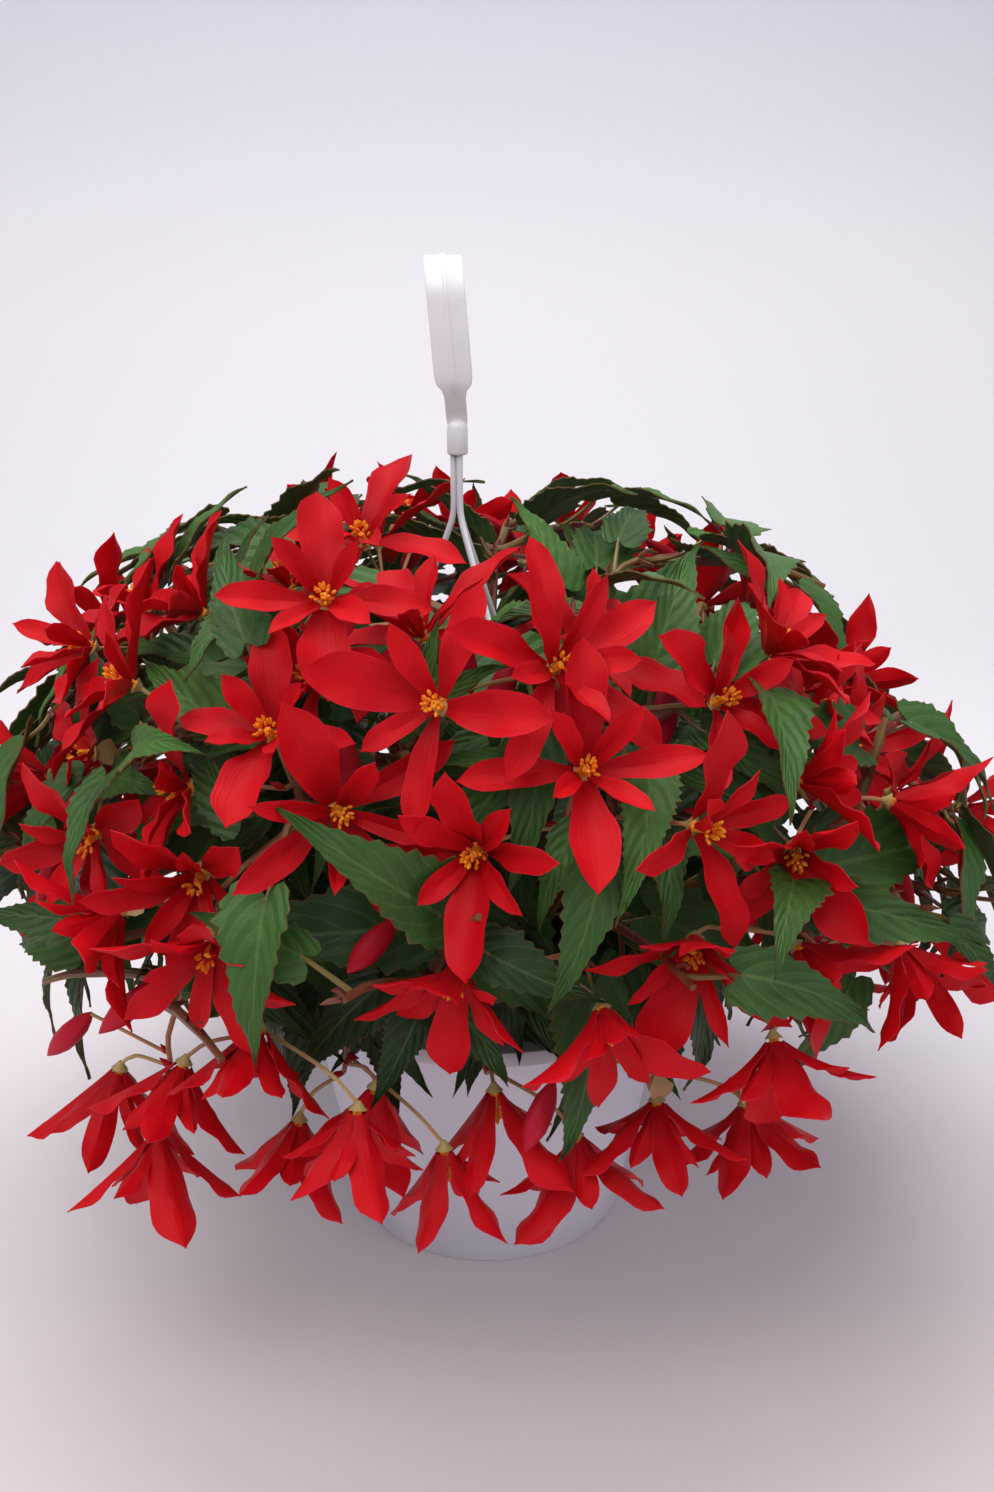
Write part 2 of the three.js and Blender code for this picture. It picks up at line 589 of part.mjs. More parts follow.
// A closed body, put together from rings of points that run the same way round
class Body {
  points = [];
  faces = [];

  ring(points) {
    return points.map((point) => this.points.push(point) - 1);
  }

  face(a, b, c) {
    this.faces.push(a, b, c);
  }

  // Faces between two rings. The second has as many points, some times as many, or only one
  join(low, high) {
    const count = Math.max(low.length, high.length);
    for (let i = 0; i < count; i += 1) {
      const a = low[Math.floor((i * low.length) / count)];
      const b = low[Math.floor((((i + 1) % count) * low.length) / count)];
      const c = high[Math.floor((((i + 1) % count) * high.length) / count)];
      const d = high[Math.floor((i * high.length) / count)];
      if (c !== d) this.face(a, c, d);
      if (a !== b) this.face(a, b, c);
    }
  }

  // Takes out the face between two rings that looks most along a way, for a branch to grow from
  open(low, high, way) {
    const corners = new Set([...low, ...high]);
    let best = { looks: -2 };
    for (let i = 0; i < this.faces.length; i += 3) {
      const face = this.faces.slice(i, i + 3);
      if (!face.every((corner) => corners.has(corner))) continue;
      const [a, b, c] = face.map((corner) => this.points[corner]);
      const looks = dot(unit(cross(sub(b, a), sub(c, a))), way);
      if (looks > best.looks) best = { looks, i, face };
    }
    this.faces.splice(best.i, 3);
    return best.face;
  }

  // Joins rings one after another, the first of them to the ring or the opening that they grow from
  grow(from, rings) {
    const made = rings.map((ring) => this.ring(ring));
    const apart = (shift) => made[0].reduce((sum, point, i) => {
      const corner = from[(i + shift) % from.length];
      return sum + size(sub(this.points[point], this.points[corner]));
    }, 0);
    const shift = from.map((_, i) => i).sort((a, b) => apart(a) - apart(b))[0];
    this.join([...from.slice(shift), ...from.slice(0, shift)], made[0]);
    for (let i = 1; i < made.length; i += 1) this.join(made[i - 1], made[i]);
    return made[made.length - 1];
  }

  close(ring, facingBack) {
    for (let i = 1; i + 1 < ring.length; i += 1) {
      if (facingBack) this.face(ring[0], ring[i + 1], ring[i]);
      else this.face(ring[0], ring[i], ring[i + 1]);
    }
  }

  geometry() {
    const geometry = new THREE.BufferGeometry();
    geometry.setAttribute('position', new THREE.Float32BufferAttribute(this.points.flat(), 3));
    geometry.setIndex(this.faces);
    return geometry;
  }
}

function loft(rings) {
  const body = new Body();
  const made = rings.map((ring) => body.ring(ring));
  for (let i = 1; i < made.length; i += 1) body.join(made[i - 1], made[i]);
  body.close(made[0], true);
  body.close(made[made.length - 1], false);
  return body.geometry();
}

// Rings along a route, each turned as little as it can from the last one, which starts at the normal
function tubeRings(points, radii, sides, last) {
  const rings = [];
  let normal = last ?? [0.31, 0.24, 0.92];
  for (let i = points.length - 1; i >= 0; i -= 1) {
    const tangent = unit(sub(points[Math.min(i + 1, points.length - 1)], points[Math.max(i - 1, 0)]));
    normal = square(normal, tangent);
    const other = cross(tangent, normal);
    const radius = radii[Math.min(i, radii.length - 1)];
    const ring = Array.from({ length: sides }, (_, k) => {
      const angle = (k * 2 * Math.PI) / sides;
      return add(add(points[i], normal, radius * Math.cos(angle)), other, radius * Math.sin(angle));
    });
    rings.unshift(ring);
  }
  return rings;
}

const tube = (points, radii, sides) => loft(tubeRings(points, radii, sides));

const even = (from, to, count) =>
  Array.from({ length: count }, (_, i) => from + ((to - from) * i) / (count - 1));

const tepalBack = (tepal, u) => {
  const { point, upper } = bent({ ...tepal, upper: tepal.inner, bend: tepal.curl }, u);
  return add(point, upper, -TEPAL.keel);
};
const tepalRing = (tepal, u) => [tepalPoint(tepal, u, 1), tepalBack(tepal, u), tepalPoint(tepal, u, -1)];
const pedicelStart = ({ base, facing, tepals }) => square(sub(tepalBack(tepals[0], 0), base), facing);

// A bloom on its pedicel's last ring: each tepal grows from three points, round the stamens' tuft
function addBloom(body, { base, facing, tepals }, pedicel) {
  const foot = tepals.map((tepal) => body.ring(tepalRing(tepal, 0)));
  body.join(pedicel, foot.flat());
  tepals.forEach((tepal, i) => {
    const stops = tepal.width > 15 ? [0.45, 0.8] : [0.62];
    let ring = foot[i];
    for (const u of stops) {
      const next = body.ring(tepalRing(tepal, u));
      body.join(ring, next);
      ring = next;
    }
    body.join(ring, body.ring([tepalPoint(tepal, 1, 0)]));
  });
  const inside = foot.flatMap(([right, , left]) => [right, left]);
  body.join(inside, body.ring([add(base, facing, BLOOM.tuft)]));
}

// The rings of a closed bud, flatter one way
function budRings({ base, heading, flat, length }) {
  const wide = square(cross(heading, flat), heading);
  const narrow = cross(heading, wide);
  const ring = (u, share) => Array.from({ length: BUD.sides }, (_, k) => {
    const angle = (k * 2 * Math.PI) / BUD.sides;
    const half = (BUD.width / 2) * share;
    const centre = add(base, heading, length * u);
    return add(add(centre, wide, half * Math.cos(angle)), narrow, half * 0.7 * Math.sin(angle));
  });
  return [ring(0.24, 0.85), ring(0.66, 1), [add(base, heading, length)]];
}

// A flower spray in one piece: the stalk with its forks, the pedicels, the blooms and the buds
function spraySolid({ stalk, blooms: [first, ...others], buds }) {
  const body = new Body();
  const branches = [...others, ...buds];
  const forked = FORK.first + FORK.step * branches.length;
  const route = [
    ...stalk.filter((_, i) => lengthOf(stalk.slice(i)) > forked + FORK.step),
    ...spaced([...stalk].reverse(), FORK.step, FORK.first).slice(0, branches.length + 1).reverse(),
    ...first.pedicel.slice(1),
  ];
  const radii = even(STALK.radius, STALK.pedicel, route.length);
  const rings = tubeRings(route, radii, STALK.sides, pedicelStart(first)).map((ring) => body.ring(ring));
  body.close(rings[0], true);
  for (let i = 1; i < rings.length; i += 1) body.join(rings[i - 1], rings[i]);
  addBloom(body, first, rings[rings.length - 1]);
  const topFork = rings.length - first.pedicel.length;
  branches.forEach((branch, i) => {
    const [from, to] = branch.pedicel;
    const opening = body.open(rings[topFork - i - 1], rings[topFork - i], unit(sub(to, from)));
    const budSide = branch.flat && square(cross(branch.heading, branch.flat), branch.heading);
    const start = branch.tepals ? pedicelStart(branch) : budSide;
    const pedicel = tubeRings(branch.pedicel, [STALK.pedicel], STALK.sides, start).slice(1);
    const last = body.grow(opening, branch.tepals ? pedicel : [...pedicel, ...budRings(branch)]);
    if (branch.tepals) addBloom(body, branch, last);
  });
  return body.geometry();
}

// A leaf with its petiole: two faces that meet in the toothed edge and stand apart along the rib
function leafSolid(leaf) {
  const body = new Body();
  const ribStops = [0.16, 0.46];
  const lens = (u, height) => {
    const { upper } = bent({ ...leaf, bend: leaf.arch }, u);
    return add(leafPoint(leaf, u, 0), upper, height);
  };
  const rings = tubeRings(leaf.petiole, [PETIOLE.radius, PETIOLE.radius * 0.8], PETIOLE.sides, leaf.upper);
  const stalk = rings.map((ring) => body.ring(ring));
  body.close(stalk[0], true);
  for (let i = 1; i < stalk.length; i += 1) body.join(stalk[i - 1], stalk[i]);
  const [top, lowRight, lowLeft] = stalk[stalk.length - 1];
  const [tip] = body.ring([leafPoint(leaf, 1, 0)]);
  const edge = (v) => [...body.ring(LEAF_EDGE.map(([u, w]) => leafPoint(leaf, u, v * w))), tip];
  const right = edge(1);
  const left = edge(-1);
  const over = [top, ...body.ring(ribStops.map((u) => lens(u, LEAF.rib))), tip];
  const under = body.ring(ribStops.map((u) => lens(u, -LEAF.rib)));
  const rimStops = [...LEAF_EDGE.map(([u]) => u), 1];
  const spineStops = [0, ...ribStops, 1];

  const strip = (spine, rim, flipped) => {
    let [r, e] = [0, 0];
    while (r + 1 < spine.length || e + 1 < rim.length) {
      const rimIsNext = e + 1 < rim.length && rimStops[e + 1] <= spineStops[r + 1] + 0.05;
      const onRim = r + 1 >= spine.length || rimIsNext;
      const next = onRim ? rim[e + 1] : spine[r + 1];
      const corners = [spine[r], rim[e], next];
      if (new Set(corners).size === 3) body.face(...(flipped ? corners.reverse() : corners));
      if (onRim) e += 1;
      else r += 1;
    }
  };
  strip(over, right, false);
  strip(over, left, true);
  strip([lowRight, ...under, tip], right, true);
  strip([lowLeft, ...under, tip], left, false);
  body.face(top, lowRight, right[0]);
  body.face(lowLeft, top, left[0]);
  body.face(lowRight, lowLeft, under[0]);
  return body.geometry();
}

// Joining and cutting

function solid(geometry) {
  const plain = geometry.clone();
  plain.deleteAttribute('normal');
  plain.deleteAttribute('uv');
  const { attributes, index } = mergeVertices(plain, 1e-4);
  const mesh = new wasm.Mesh({
    numProp: 3,
    vertProperties: attributes.position.array,
    triVerts: new Uint32Array(index.array),
  });
  const made = new wasm.Manifold(mesh);
  if (made.volume() > 0) return made;
  for (let i = 0; i < index.array.length; i += 3) {
    [index.array[i + 1], index.array[i + 2]] = [index.array[i + 2], index.array[i + 1]];
  }
  return solid(mergeVertices(plain.setIndex(index), 1e-4));
}

// The joined body, without sealed hollows and loose scraps
function whole(body) {
  return body.decompose().reduce((most, part) => (part.volume() > most.volume() ? part : most));
}

const fused = (geometries) => whole(geometries.map(solid).reduce((all, next) => all.add(next)));

function geometryOf(body) {
  const { vertProperties, triVerts } = body.getMesh();
  const geometry = new THREE.BufferGeometry();
  geometry.setAttribute('position', new THREE.BufferAttribute(vertProperties, 3));
  geometry.setIndex(new THREE.BufferAttribute(triVerts, 1));
  geometry.computeVertexNormals();
  return geometry;
}

// The pot, its soil and its hanger

const upright = (radius, low, high, sides, x = 0, y = 0) => {
  const geometry = new THREE.CylinderGeometry(radius, radius, high - low, sides);
  return geometry.rotateX(Math.PI / 2).translate(x, y, (low + high) / 2);
};

const wallRadius = (z) => POT.base + ((POT.top - POT.base) * z) / POT.height;

function lathe(profile, sides) {
  const points = profile.map(([r, z]) => new THREE.Vector2(r, z));
  return new THREE.LatheGeometry(points, sides).rotateX(Math.PI / 2);
}

function potSolid() {
  const { height, wall, floor, chamfer } = POT;
  const step = POT_LINE.step + POT_BAND.step;
  const profile = [
    [0, 0],
    [POT.base - chamfer, 0],
    [wallRadius(chamfer), chamfer],
    [wallRadius(POT_LINE.height), POT_LINE.height],
    [wallRadius(POT_LINE.height) + POT_LINE.step, POT_LINE.height + 0.6],
    [wallRadius(POT_BAND.height) + POT_LINE.step, POT_BAND.height],
    [wallRadius(POT_BAND.height) + step, POT_BAND.height + 0.8],
    [wallRadius(height - POT_RIM.thickness) + step, height - POT_RIM.thickness],
    [POT_RIM.reach - POT_RIM.edge, height - POT_RIM.thickness],
    [POT_RIM.reach - POT_RIM.edge, height - POT_RIM.lip],
    [POT_RIM.reach, height - POT_RIM.lip],
    [POT_RIM.reach, height - 1],
    [POT_RIM.reach - 1, height],
    [wallRadius(height) - wall, height],
    [wallRadius(floor) - wall, floor],
    [0, floor],
    [0, 0],
  ];
  let pot = solid(lathe(profile, POT.sides));
  for (const azimuth of Object.values(STRAND_WAYS)) {
    const [x, y] = place(azimuth, STRAND.ring, 0);
    pot = pot.subtract(solid(upright(STRAND.hole, height - 12, height + 5, HOLE_SIDES, x, y)));
  }
  for (let i = 0; i < DRAIN.count; i += 1) {
    const [x, y] = place(45 + (i * 360) / DRAIN.count, DRAIN.ring, 0);
    pot = pot.subtract(solid(upright(DRAIN.radius, -5, floor + 5, HOLE_SIDES, x, y)));
  }
  return pot;
}

function soilSolid() {
  const low = POT.floor + GAP;
  const inside = (z) => wallRadius(z) - POT.wall - GAP - 0.15;
  const profile = [
    [0, low],
    [inside(low), low],
    [inside(SOIL_TOP - 2), SOIL_TOP - 2],
    [inside(SOIL_TOP) - 3, SOIL_TOP],
    [0, SOIL_TOP],
    [0, low],
  ];
  let soil = solid(lathe(profile, POT.sides));
  for (const { points } of stems) {
    const [x, y] = points[0];
    const hollow = upright(STEM.radius + 1, SOIL_TOP - STEM.sunk - GAP, SOIL_TOP + 9, 5, x, y);
    soil = soil.subtract(solid(hollow));
  }
  return soil;
}

// The hook is a flat strap with a rib down its outer face, bent over away from the front
function hookSolid() {
  const { neck, width, thickness, rib, crease, bend, top, lean, turn } = HOOK;
  const middle = top - bend;
  const lead = -7;
  const route = [
    { y: 0, z: SOCKET.top - 4, w: 8, ribbed: 0 },
    { y: -1, z: SOCKET.top + 2, w: neck, ribbed: 0 },
    { y: -5, z: crease - 6, w: neck, ribbed: 0 },
    { y: lead, z: crease, w: width - 2, ribbed: 1 },
    { y: lead - 0.5, z: crease + 5, w: width, ribbed: 1 },
  ];
  for (let degrees = 180; degrees >= -28; degrees -= 26) {
    const y = lead + bend + bend * Math.cos(radians(degrees));
    route.push({ y, z: middle + bend * Math.sin(radians(degrees)), w: width, ribbed: 1 });
  }
  const rings = route.map(({ y, z, w, ribbed }, i) => {
    const before = route[Math.max(i - 1, 0)];
    const after = route[Math.min(i + 1, route.length - 1)];
    const along = unit([0, after.y - before.y, after.z - before.z]);
    const outer = [0, -along[2], along[1]];
    const half = w / 2;
    const crest = 1.2 + 0.3 * ribbed;
    const section = [
      [-half, -thickness / 2],
      [half, -thickness / 2],
      [half, thickness / 2],
      [crest + 1, thickness / 2],
      [0, thickness / 2 + rib * ribbed + 0.05],
      [-crest - 1, thickness / 2],
      [-half, thickness / 2],
    ];
    const aside = lean * Math.max(z - SOCKET.top, 0);
    return section.map(([across, depth]) => add([across + aside, y, z], outer, depth));
  });
  const strap = loft(rings);
  const cup = lathe(
    [
      [0, SOCKET.bottom],
      [SOCKET.radius - 0.8, SOCKET.bottom],
      [SOCKET.radius, SOCKET.bottom + 1.2],
      [SOCKET.radius, SOCKET.top - 3],
      [SOCKET.radius - 1.5, SOCKET.top],
      [0, SOCKET.top],
      [0, SOCKET.bottom],
    ],
    12
  );
  const mouth = upright(SOCKET.mouth, SOCKET.bottom - 5, STRAND.top + GAP, HOLE_SIDES);
  const hook = whole(solid(strap).add(solid(cup)).subtract(solid(mouth)));
  const geometry = geometryOf(hook);
  return solid(geometry.rotateZ(radians(turn)).translate(HANGER_X, 0, 0));
}

function strandSolid(azimuth) {
  const route = strandRoute(azimuth);
  const foot = route[route.length - 1];
  const barbLow = STRAND_BARB.top - STRAND_BARB.height;
  const barb = new THREE.CylinderGeometry(STRAND_BARB.radius, 1.2, STRAND_BARB.height, 6);
  barb.rotateX(Math.PI / 2).translate(foot[0], foot[1], barbLow + STRAND_BARB.height / 2);
  return solid(tube(route, [STRAND.radius], STRAND.sides)).add(solid(barb));
}

// The plant's bodies

function stemBody(stem) {
  const total = lengthOf(stem.points);
  const radii = stem.points.map((_, i) => stemRadius(lengthOf(stem.points.slice(0, i + 1)) / total));
  const stalk = tube(stem.points, radii, STEM.sides);
  return fused([stalk, ...stem.leaves.map(leafSolid)]);
}

const finish = (color, roughness) => new THREE.MeshStandardMaterial({ color, roughness, metalness: 0 });

const plant = new THREE.Group();
plant.name = 'hanging_basket_begonia';

function addPiece(name, body, material) {
  const mesh = new THREE.Mesh(geometryOf(body), material);
  mesh.name = name;
  plant.add(mesh);
}

addPiece('pot', potSolid(), finish(0xe9e8f0, 0.35));
addPiece('soil', soilSolid(), finish(0x33241a, 0.95));
addPiece('hanger_hook', hookSolid(), finish(0xf7f6fb, 0.35));
for (const [way, azimuth] of Object.entries(STRAND_WAYS)) {
  addPiece(`hanger_strand_${way}`, strandSolid(azimuth), finish(0xf1ebea, 0.35));
}
for (const stem of stems) addPiece(stem.name, stemBody(stem), finish(0x2f5a30, 0.6));
for (const spray of sprays) addPiece(spray.name, solid(spraySolid(spray)), finish(0xc8101f, 0.5));

export default plant;
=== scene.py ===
import math

import bmesh
import bpy
import numpy as np
from bpy.props import FloatProperty, IntProperty, PointerProperty, StringProperty
from bpy.types import Operator, Panel, PropertyGroup
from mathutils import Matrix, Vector


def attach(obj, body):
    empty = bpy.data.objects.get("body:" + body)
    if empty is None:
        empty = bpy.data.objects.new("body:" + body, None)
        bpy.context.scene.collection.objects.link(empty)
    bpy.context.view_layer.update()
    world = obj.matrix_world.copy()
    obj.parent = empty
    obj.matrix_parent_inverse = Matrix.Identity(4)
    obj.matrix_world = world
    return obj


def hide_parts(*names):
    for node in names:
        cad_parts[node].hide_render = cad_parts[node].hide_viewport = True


bl_info = {
    "name": "Hanging basket begonia",
    "version": (1, 0, 0),
    "blender": (4, 5, 0),
    "location": "View3D > Sidebar > Begonia",
    "description": "Builds the pot, soil, hanger, leafy stems and flower sprays of a trailing begonia",
    "category": "Object",
}

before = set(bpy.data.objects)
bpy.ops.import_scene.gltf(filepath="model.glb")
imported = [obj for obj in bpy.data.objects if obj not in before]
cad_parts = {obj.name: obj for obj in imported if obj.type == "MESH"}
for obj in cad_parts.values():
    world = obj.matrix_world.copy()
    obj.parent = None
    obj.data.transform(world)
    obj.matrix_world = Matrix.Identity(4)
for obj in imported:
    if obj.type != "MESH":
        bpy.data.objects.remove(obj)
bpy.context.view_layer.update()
MM = 0.001

# Sizes and layout, as in the part's source. Both come to the same plant

GAP = 0.3
POT = {"base": 75.0, "top": 103.0, "height": 150.0, "wall": 1.8, "floor": 2.2, "chamfer": 1.6}
POT_BAND_STEP = 1.1
RIM_REACH, RIM_LIP = 114.0, 8.0
SOIL_TOP = 130.0
HANGER_X = -15.0
HOOK = {"neck": 10.4, "width": 18.6, "thickness": 2.8, "crease": 453.0, "bend": 19.2, "top": 511.0,
        "lean": -0.083, "turn": 2.0}
SOCKET = {"bottom": 419.0, "top": 435.0, "radius": 5.2, "mouth": 4.3}
VEIN_COUNT, VEIN_SLANT = 7.0, 0.32
STRAND = {"radius": 1.6, "bundle": 2.05, "parting": 388.0, "top": 429.0, "hole": 2.2, "ring": 108.4,
          "easing": 8, "landing": 9, "entry": 3}
BARB_TOP, BARB_HEIGHT, BARB_RADIUS = 144.0, 5.0, 2.6
STRAND_WAYS = {"left": 180, "front": 300, "back": 60}
STEM = {"radius": 3.0, "tip": 1.5, "sunk": 6.0, "wander": 14.0}
STEM_STEPS, STALK_STEPS, SHOOT_STEPS, PEDICEL_STEPS = 6, 3, 5, 2
PETIOLE = {"radius": 1.3, "length": 14.0, "growth": 12.0}
STALK_RADIUS, PEDICEL_RADIUS = 1.3, 0.95
FORK_FIRST, FORK_STEP = 2.0, 4.0
HOLD = {"first": 40.0, "step": 9.0, "seat": 0.9, "heel": 3.0, "nearest": 24.0, "tried": 14, "outside": 1.5,
        "above": 0.25}
LEAF = {"length": 84.0, "breadth": 0.42, "fold": 0.3, "spacing": 39.0, "lowest": 34.0, "clear": 0.95}
TEPAL = {"length": 50.0, "outer": 19.0, "inner": 13.0, "foot": 3.6, "cup": 0.25, "female": 2,
         "shorter": 0.93}
BLOOM = {"open": 48.0, "open_draw": 26.0, "closing": 28.0, "female": 0.22, "clear": 0.6, "least": -0.4,
         "outer_tilt": 0.9, "inner_tilt": 1.12}
BUD_LENGTH, BUD_WIDTH = 34.0, 12.0
# Draws that make no two leaves or blooms alike: the least value and what a draw adds, or the whole spread
LEAF_SIZE, LEAF_ARCH, LEAF_TILT, LEAF_SPREAD = (0.82, 0.4), (0.45, 0.65), 0.55, (0.9, 0.6)
TEPAL_STRETCH, TEPAL_BREADTH, TEPAL_CURL = (0.86, 0.24), (0.88, 0.24), (0.15, 0.55)
TEPAL_TURN, TEPAL_TILT, BUD_SIZE = 14, 0.24, (0.8, 0.4)
SEEDS = {"stem": 100, "spray": 200, "bloom": 1000, "blooms": 10}
DOME_CENTRE = 140.0
# Room is measured between balls, and only between balls in neighbouring cells
CELL = 9.0
AMPLE, NO_ROOM = 1.0, -99.0
WIDEST = 12.5
BALL_STEP = 3.5
BALLS_AT_MOST = 200000
MARGIN = 1.0
SHEET = 1.9
FROM_POT, FROM_FLOOR = 3.0, 12.0
ROUTE_STEP = 2
UP, DOWN = (0, 0, 1), (0, 0, -1)


def add(a, b, k=1.0):
    return (a[0] + b[0] * k, a[1] + b[1] * k, a[2] + b[2] * k)


def sub(a, b):
    return (a[0] + b[0] * -1, a[1] + b[1] * -1, a[2] + b[2] * -1)


def times(a, k):
    return (a[0] * k, a[1] * k, a[2] * k)


def dot(a, b):
    return a[0] * b[0] + a[1] * b[1] + a[2] * b[2]


def cross(a, b):
    return (a[1] * b[2] - a[2] * b[1], a[2] * b[0] - a[0] * b[2], a[0] * b[1] - a[1] * b[0])


def size(a):
    return math.sqrt(dot(a, a))


def unit(a):
    return times(a, 1 / max(size(a), 1e-9))


def blend(a, b, t):
    return add(times(a, 1 - t), b, t)


def square(a, axis):
    return unit(add(a, axis, -dot(a, axis)))


def radians(degrees):
    return (degrees * math.pi) / 180


def place(azimuth, reach, z):
    return (reach * math.cos(radians(azimuth)), reach * math.sin(radians(azimuth)), z)


def turned(v, axis, angle):
    c, s = math.cos(angle), math.sin(angle)
    along = times(axis, dot(v, axis) * (1 - c))
    return add(add(times(v, c), cross(axis, v), s), along)


DRAW_PERIOD = 4294967296


class Draws:
    """Seeded draws between 0 and 1, the same as in the part's source."""

    def __init__(self, seed):
        self.state = (seed * 2654435761) % DRAW_PERIOD

    def __call__(self):
        self.state = (self.state * 1664525 + 1013904223) % DRAW_PERIOD
        return self.state / DRAW_PERIOD

    def between(self, least, more):
        return least + self() * more

    def around(self, spread):
        return (self() - 0.5) * spread


def bezier(p, t):
    near, middle, far = blend(p[0], p[1], t), blend(p[1], p[2], t), blend(p[2], p[3], t)
    return add(times(blend(near, middle, t), 1 - t), blend(middle, far, t), t)


def bezier_points(p, steps):
    return [bezier(p, i / steps) for i in range(steps + 1)]


def length_of(points):
    return sum(size(sub(b, a)) for a, b in zip(points, points[1:]))


def spaced(points, step, start=0.0):
    out, wanted, passed = [], start, 0.0
    for a, b in zip(points, points[1:]):
        length = size(sub(b, a))
        while wanted <= passed + length:
            out.append(blend(a, b, (wanted - passed) / max(length, 1e-9)))
            wanted += step
        passed += length
    return out


class Bush:
    """What is placed so far, as balls with their owners."""

    def __init__(self):
        self.points = np.zeros((3, BALLS_AT_MOST))
        self.radii = np.zeros(BALLS_AT_MOST)
        self.owners = np.zeros(BALLS_AT_MOST, dtype=int)
        self.names = {}
        self.count = 0
        self.filling = False
        self.spare = 0.0

    def owner(self, name):
        return self.names.setdefault(name, len(self.names) + 1)

    def occupy(self, points, radius, name):
        points = np.asarray(points, dtype=float).reshape(-1, 3)
        if not len(points):
            return
        part = slice(self.count, self.count + len(points))
        self.points[:, part] = points.T
        self.radii[part] = radius
        self.owners[part] = self.owner(name)
        self.count += len(points)

    def room(self, points, radius, skipped=None, least=NO_ROOM):
        """The least gap to what is placed, up to AMPLE, or any gap under least as soon as one is found."""
        points = np.asarray(points, dtype=float).reshape(-1, 3)
        if not len(points):
            return AMPLE
        if self.filling and not free_for_more(points, self.spare):
            return NO_ROOM
        reach = np.hypot(points[:, 0], points[:, 1])
        z = points[:, 2]
        over_soil = (z > SOIL_TOP + radius) & (reach < POT["top"] - POT["wall"] - radius - FROM_POT)
        pot = POT["base"] + ((POT["top"] - POT["base"]) * z) / POT["height"] + POT_BAND_STEP
        pot = np.where(z > POT["height"] - RIM_LIP - FROM_POT, RIM_REACH, pot)
        pot = np.where(z > POT["height"] + FROM_POT, 0.0, pot)
        walls = np.where(over_soil, AMPLE, reach - pot - radius)
        found = min(AMPLE, walls.min(), (z - FROM_FLOOR - radius).min())
        if found < least:
            return found
        placed = slice(0, self.count)
        low, high = points.min(axis=0) - WIDEST, points.max(axis=0) + WIDEST
        x, y, z = self.points[0][placed], self.points[1][placed], self.points[2][placed]
        near = (x > low[0]) & (x < high[0]) & (y > low[1]) & (y < high[1]) & (z > low[2]) & (z < high[2])
        if skipped is not None:
            near &= self.owners[placed] != self.owner(skipped)
        near = np.nonzero(near)[0]
        if not len(near):
            return found
        others = self.points[:, near]
        apart = (points[:, 0, None] - others[0]) ** 2
        apart += (points[:, 1, None] - others[1]) ** 2
        apart += (points[:, 2, None] - others[2]) ** 2
        gaps = np.sqrt(apart) - (radius + self.radii[near])
        ours, theirs = np.nonzero(gaps < found)
        steps = np.floor(points[ours] / CELL) - np.floor(others[:, theirs].T / CELL)
        close = np.all(np.abs(steps) <= 1, axis=1)
        return gaps[ours[close], theirs[close]].min() if close.any() else found


TIERS = {
    "top": {"ring": 20, "lean": 0.2, "rise": 205, "shoulder": 0.55, "drop": 30, "droop": 0.1},
    "middle": {"ring": 46, "lean": 0.16, "rise": 150, "shoulder": 0.62, "drop": 62, "droop": 0.3},
    "low": {"ring": 74, "lean": 0.1, "rise": 84, "shoulder": 0.72, "drop": 88, "droop": 0.8},
    "rim": {"ring": 62, "lean": 0.2, "rise": 96, "shoulder": 0.7, "drop": 60, "droop": 1.2},
}
STEMS = [
    ("top", 150, 132, 350),
    ("top", 18, 100, 358),
    ("top", 258, 92, 352),
    ("top", 88, 120, 348),
    ("middle", 216, 206, 292),
    ("middle", 322, 206, 276),
    ("middle", 169, 196, 296),
    ("middle", 0, 196, 256),
    ("middle", 124, 212, 278),
    ("middle", 52, 212, 262),
    ("middle", 289, 186, 312),
    ("middle", 248, 190, 296),
    ("low", 228, 214, 200),
    ("low", 262, 184, 216),
    ("low", 283, 186, 232),
    ("low", 309, 210, 224),
    ("low", 345, 196, 198),
    ("low", 196, 198, 196),
    ("low", 142, 208, 146),
    ("low", 70, 208, 146),
    ("rim", 246, 150, 206),
    ("rim", 298, 152, 204),
]
SPRAYS = [
    (259, 168, 352, 3, 1, 0.05),
    (284, 176, 340, 3, 1, 0.2),
    (244, 206, 308, 3, 1, 0.25),
    (279, 206, 296, 3, 0, 0.3),
    (226, 146, 362, 3, 1, 0.05),
    (310, 178, 322, 3, 1, 0.15),
    (312, 226, 288, 3, 1, 0.4),
    (299, 228, 238, 2, 0, 0.5),
    (313, 237, 204, 3, 1, 0.75),
    (237, 232, 250, 3, 0, 0.5),
    (243, 228, 176, 3, 1, 0.85),
    (225, 228, 128, 2, 1, 1),
    (249, 200, 138, 3, 0, 1),
    (270, 186, 136, 3, 0, 1),
    (291, 200, 136, 3, 1, 1),
    (228, 208, 330, 2, 0, 0.2),
    (192, 186, 336, 3, 1, 0.15),
    (196, 60, 372, 2, 1, 0),
    (208, 222, 276, 3, 2, 0.4),
    (333, 226, 252, 3, 1, 0.45),
    (274, 216, 226, 2, 1, 0.6),
    (352, 176, 288, 3, 1, 0.15),
    (350, 220, 206, 3, 1, 0.8),
    (34, 168, 318, 2, 0, 0.15),
    (22, 220, 234, 3, 1, 0.5),
    (60, 228, 200, 2, 1, 0.8),
    (74, 200, 326, 3, 1, 0.25),
    (96, 228, 240, 2, 0, 0.6),
    (110, 160, 352, 3, 1, 0.1),
    (132, 218, 180, 2, 1, 0.9),
    (150, 212, 304, 2, 1, 0.3),
    (172, 222, 226, 3, 1, 0.6),
]
FANS = {1: [(0, 0)], 2: [(-25, 7), (25, -7)], 3: [(-35, -8), (3, 17), (35, -6)]}
BUD_FANS = [(-14, 30), (18, -28)]
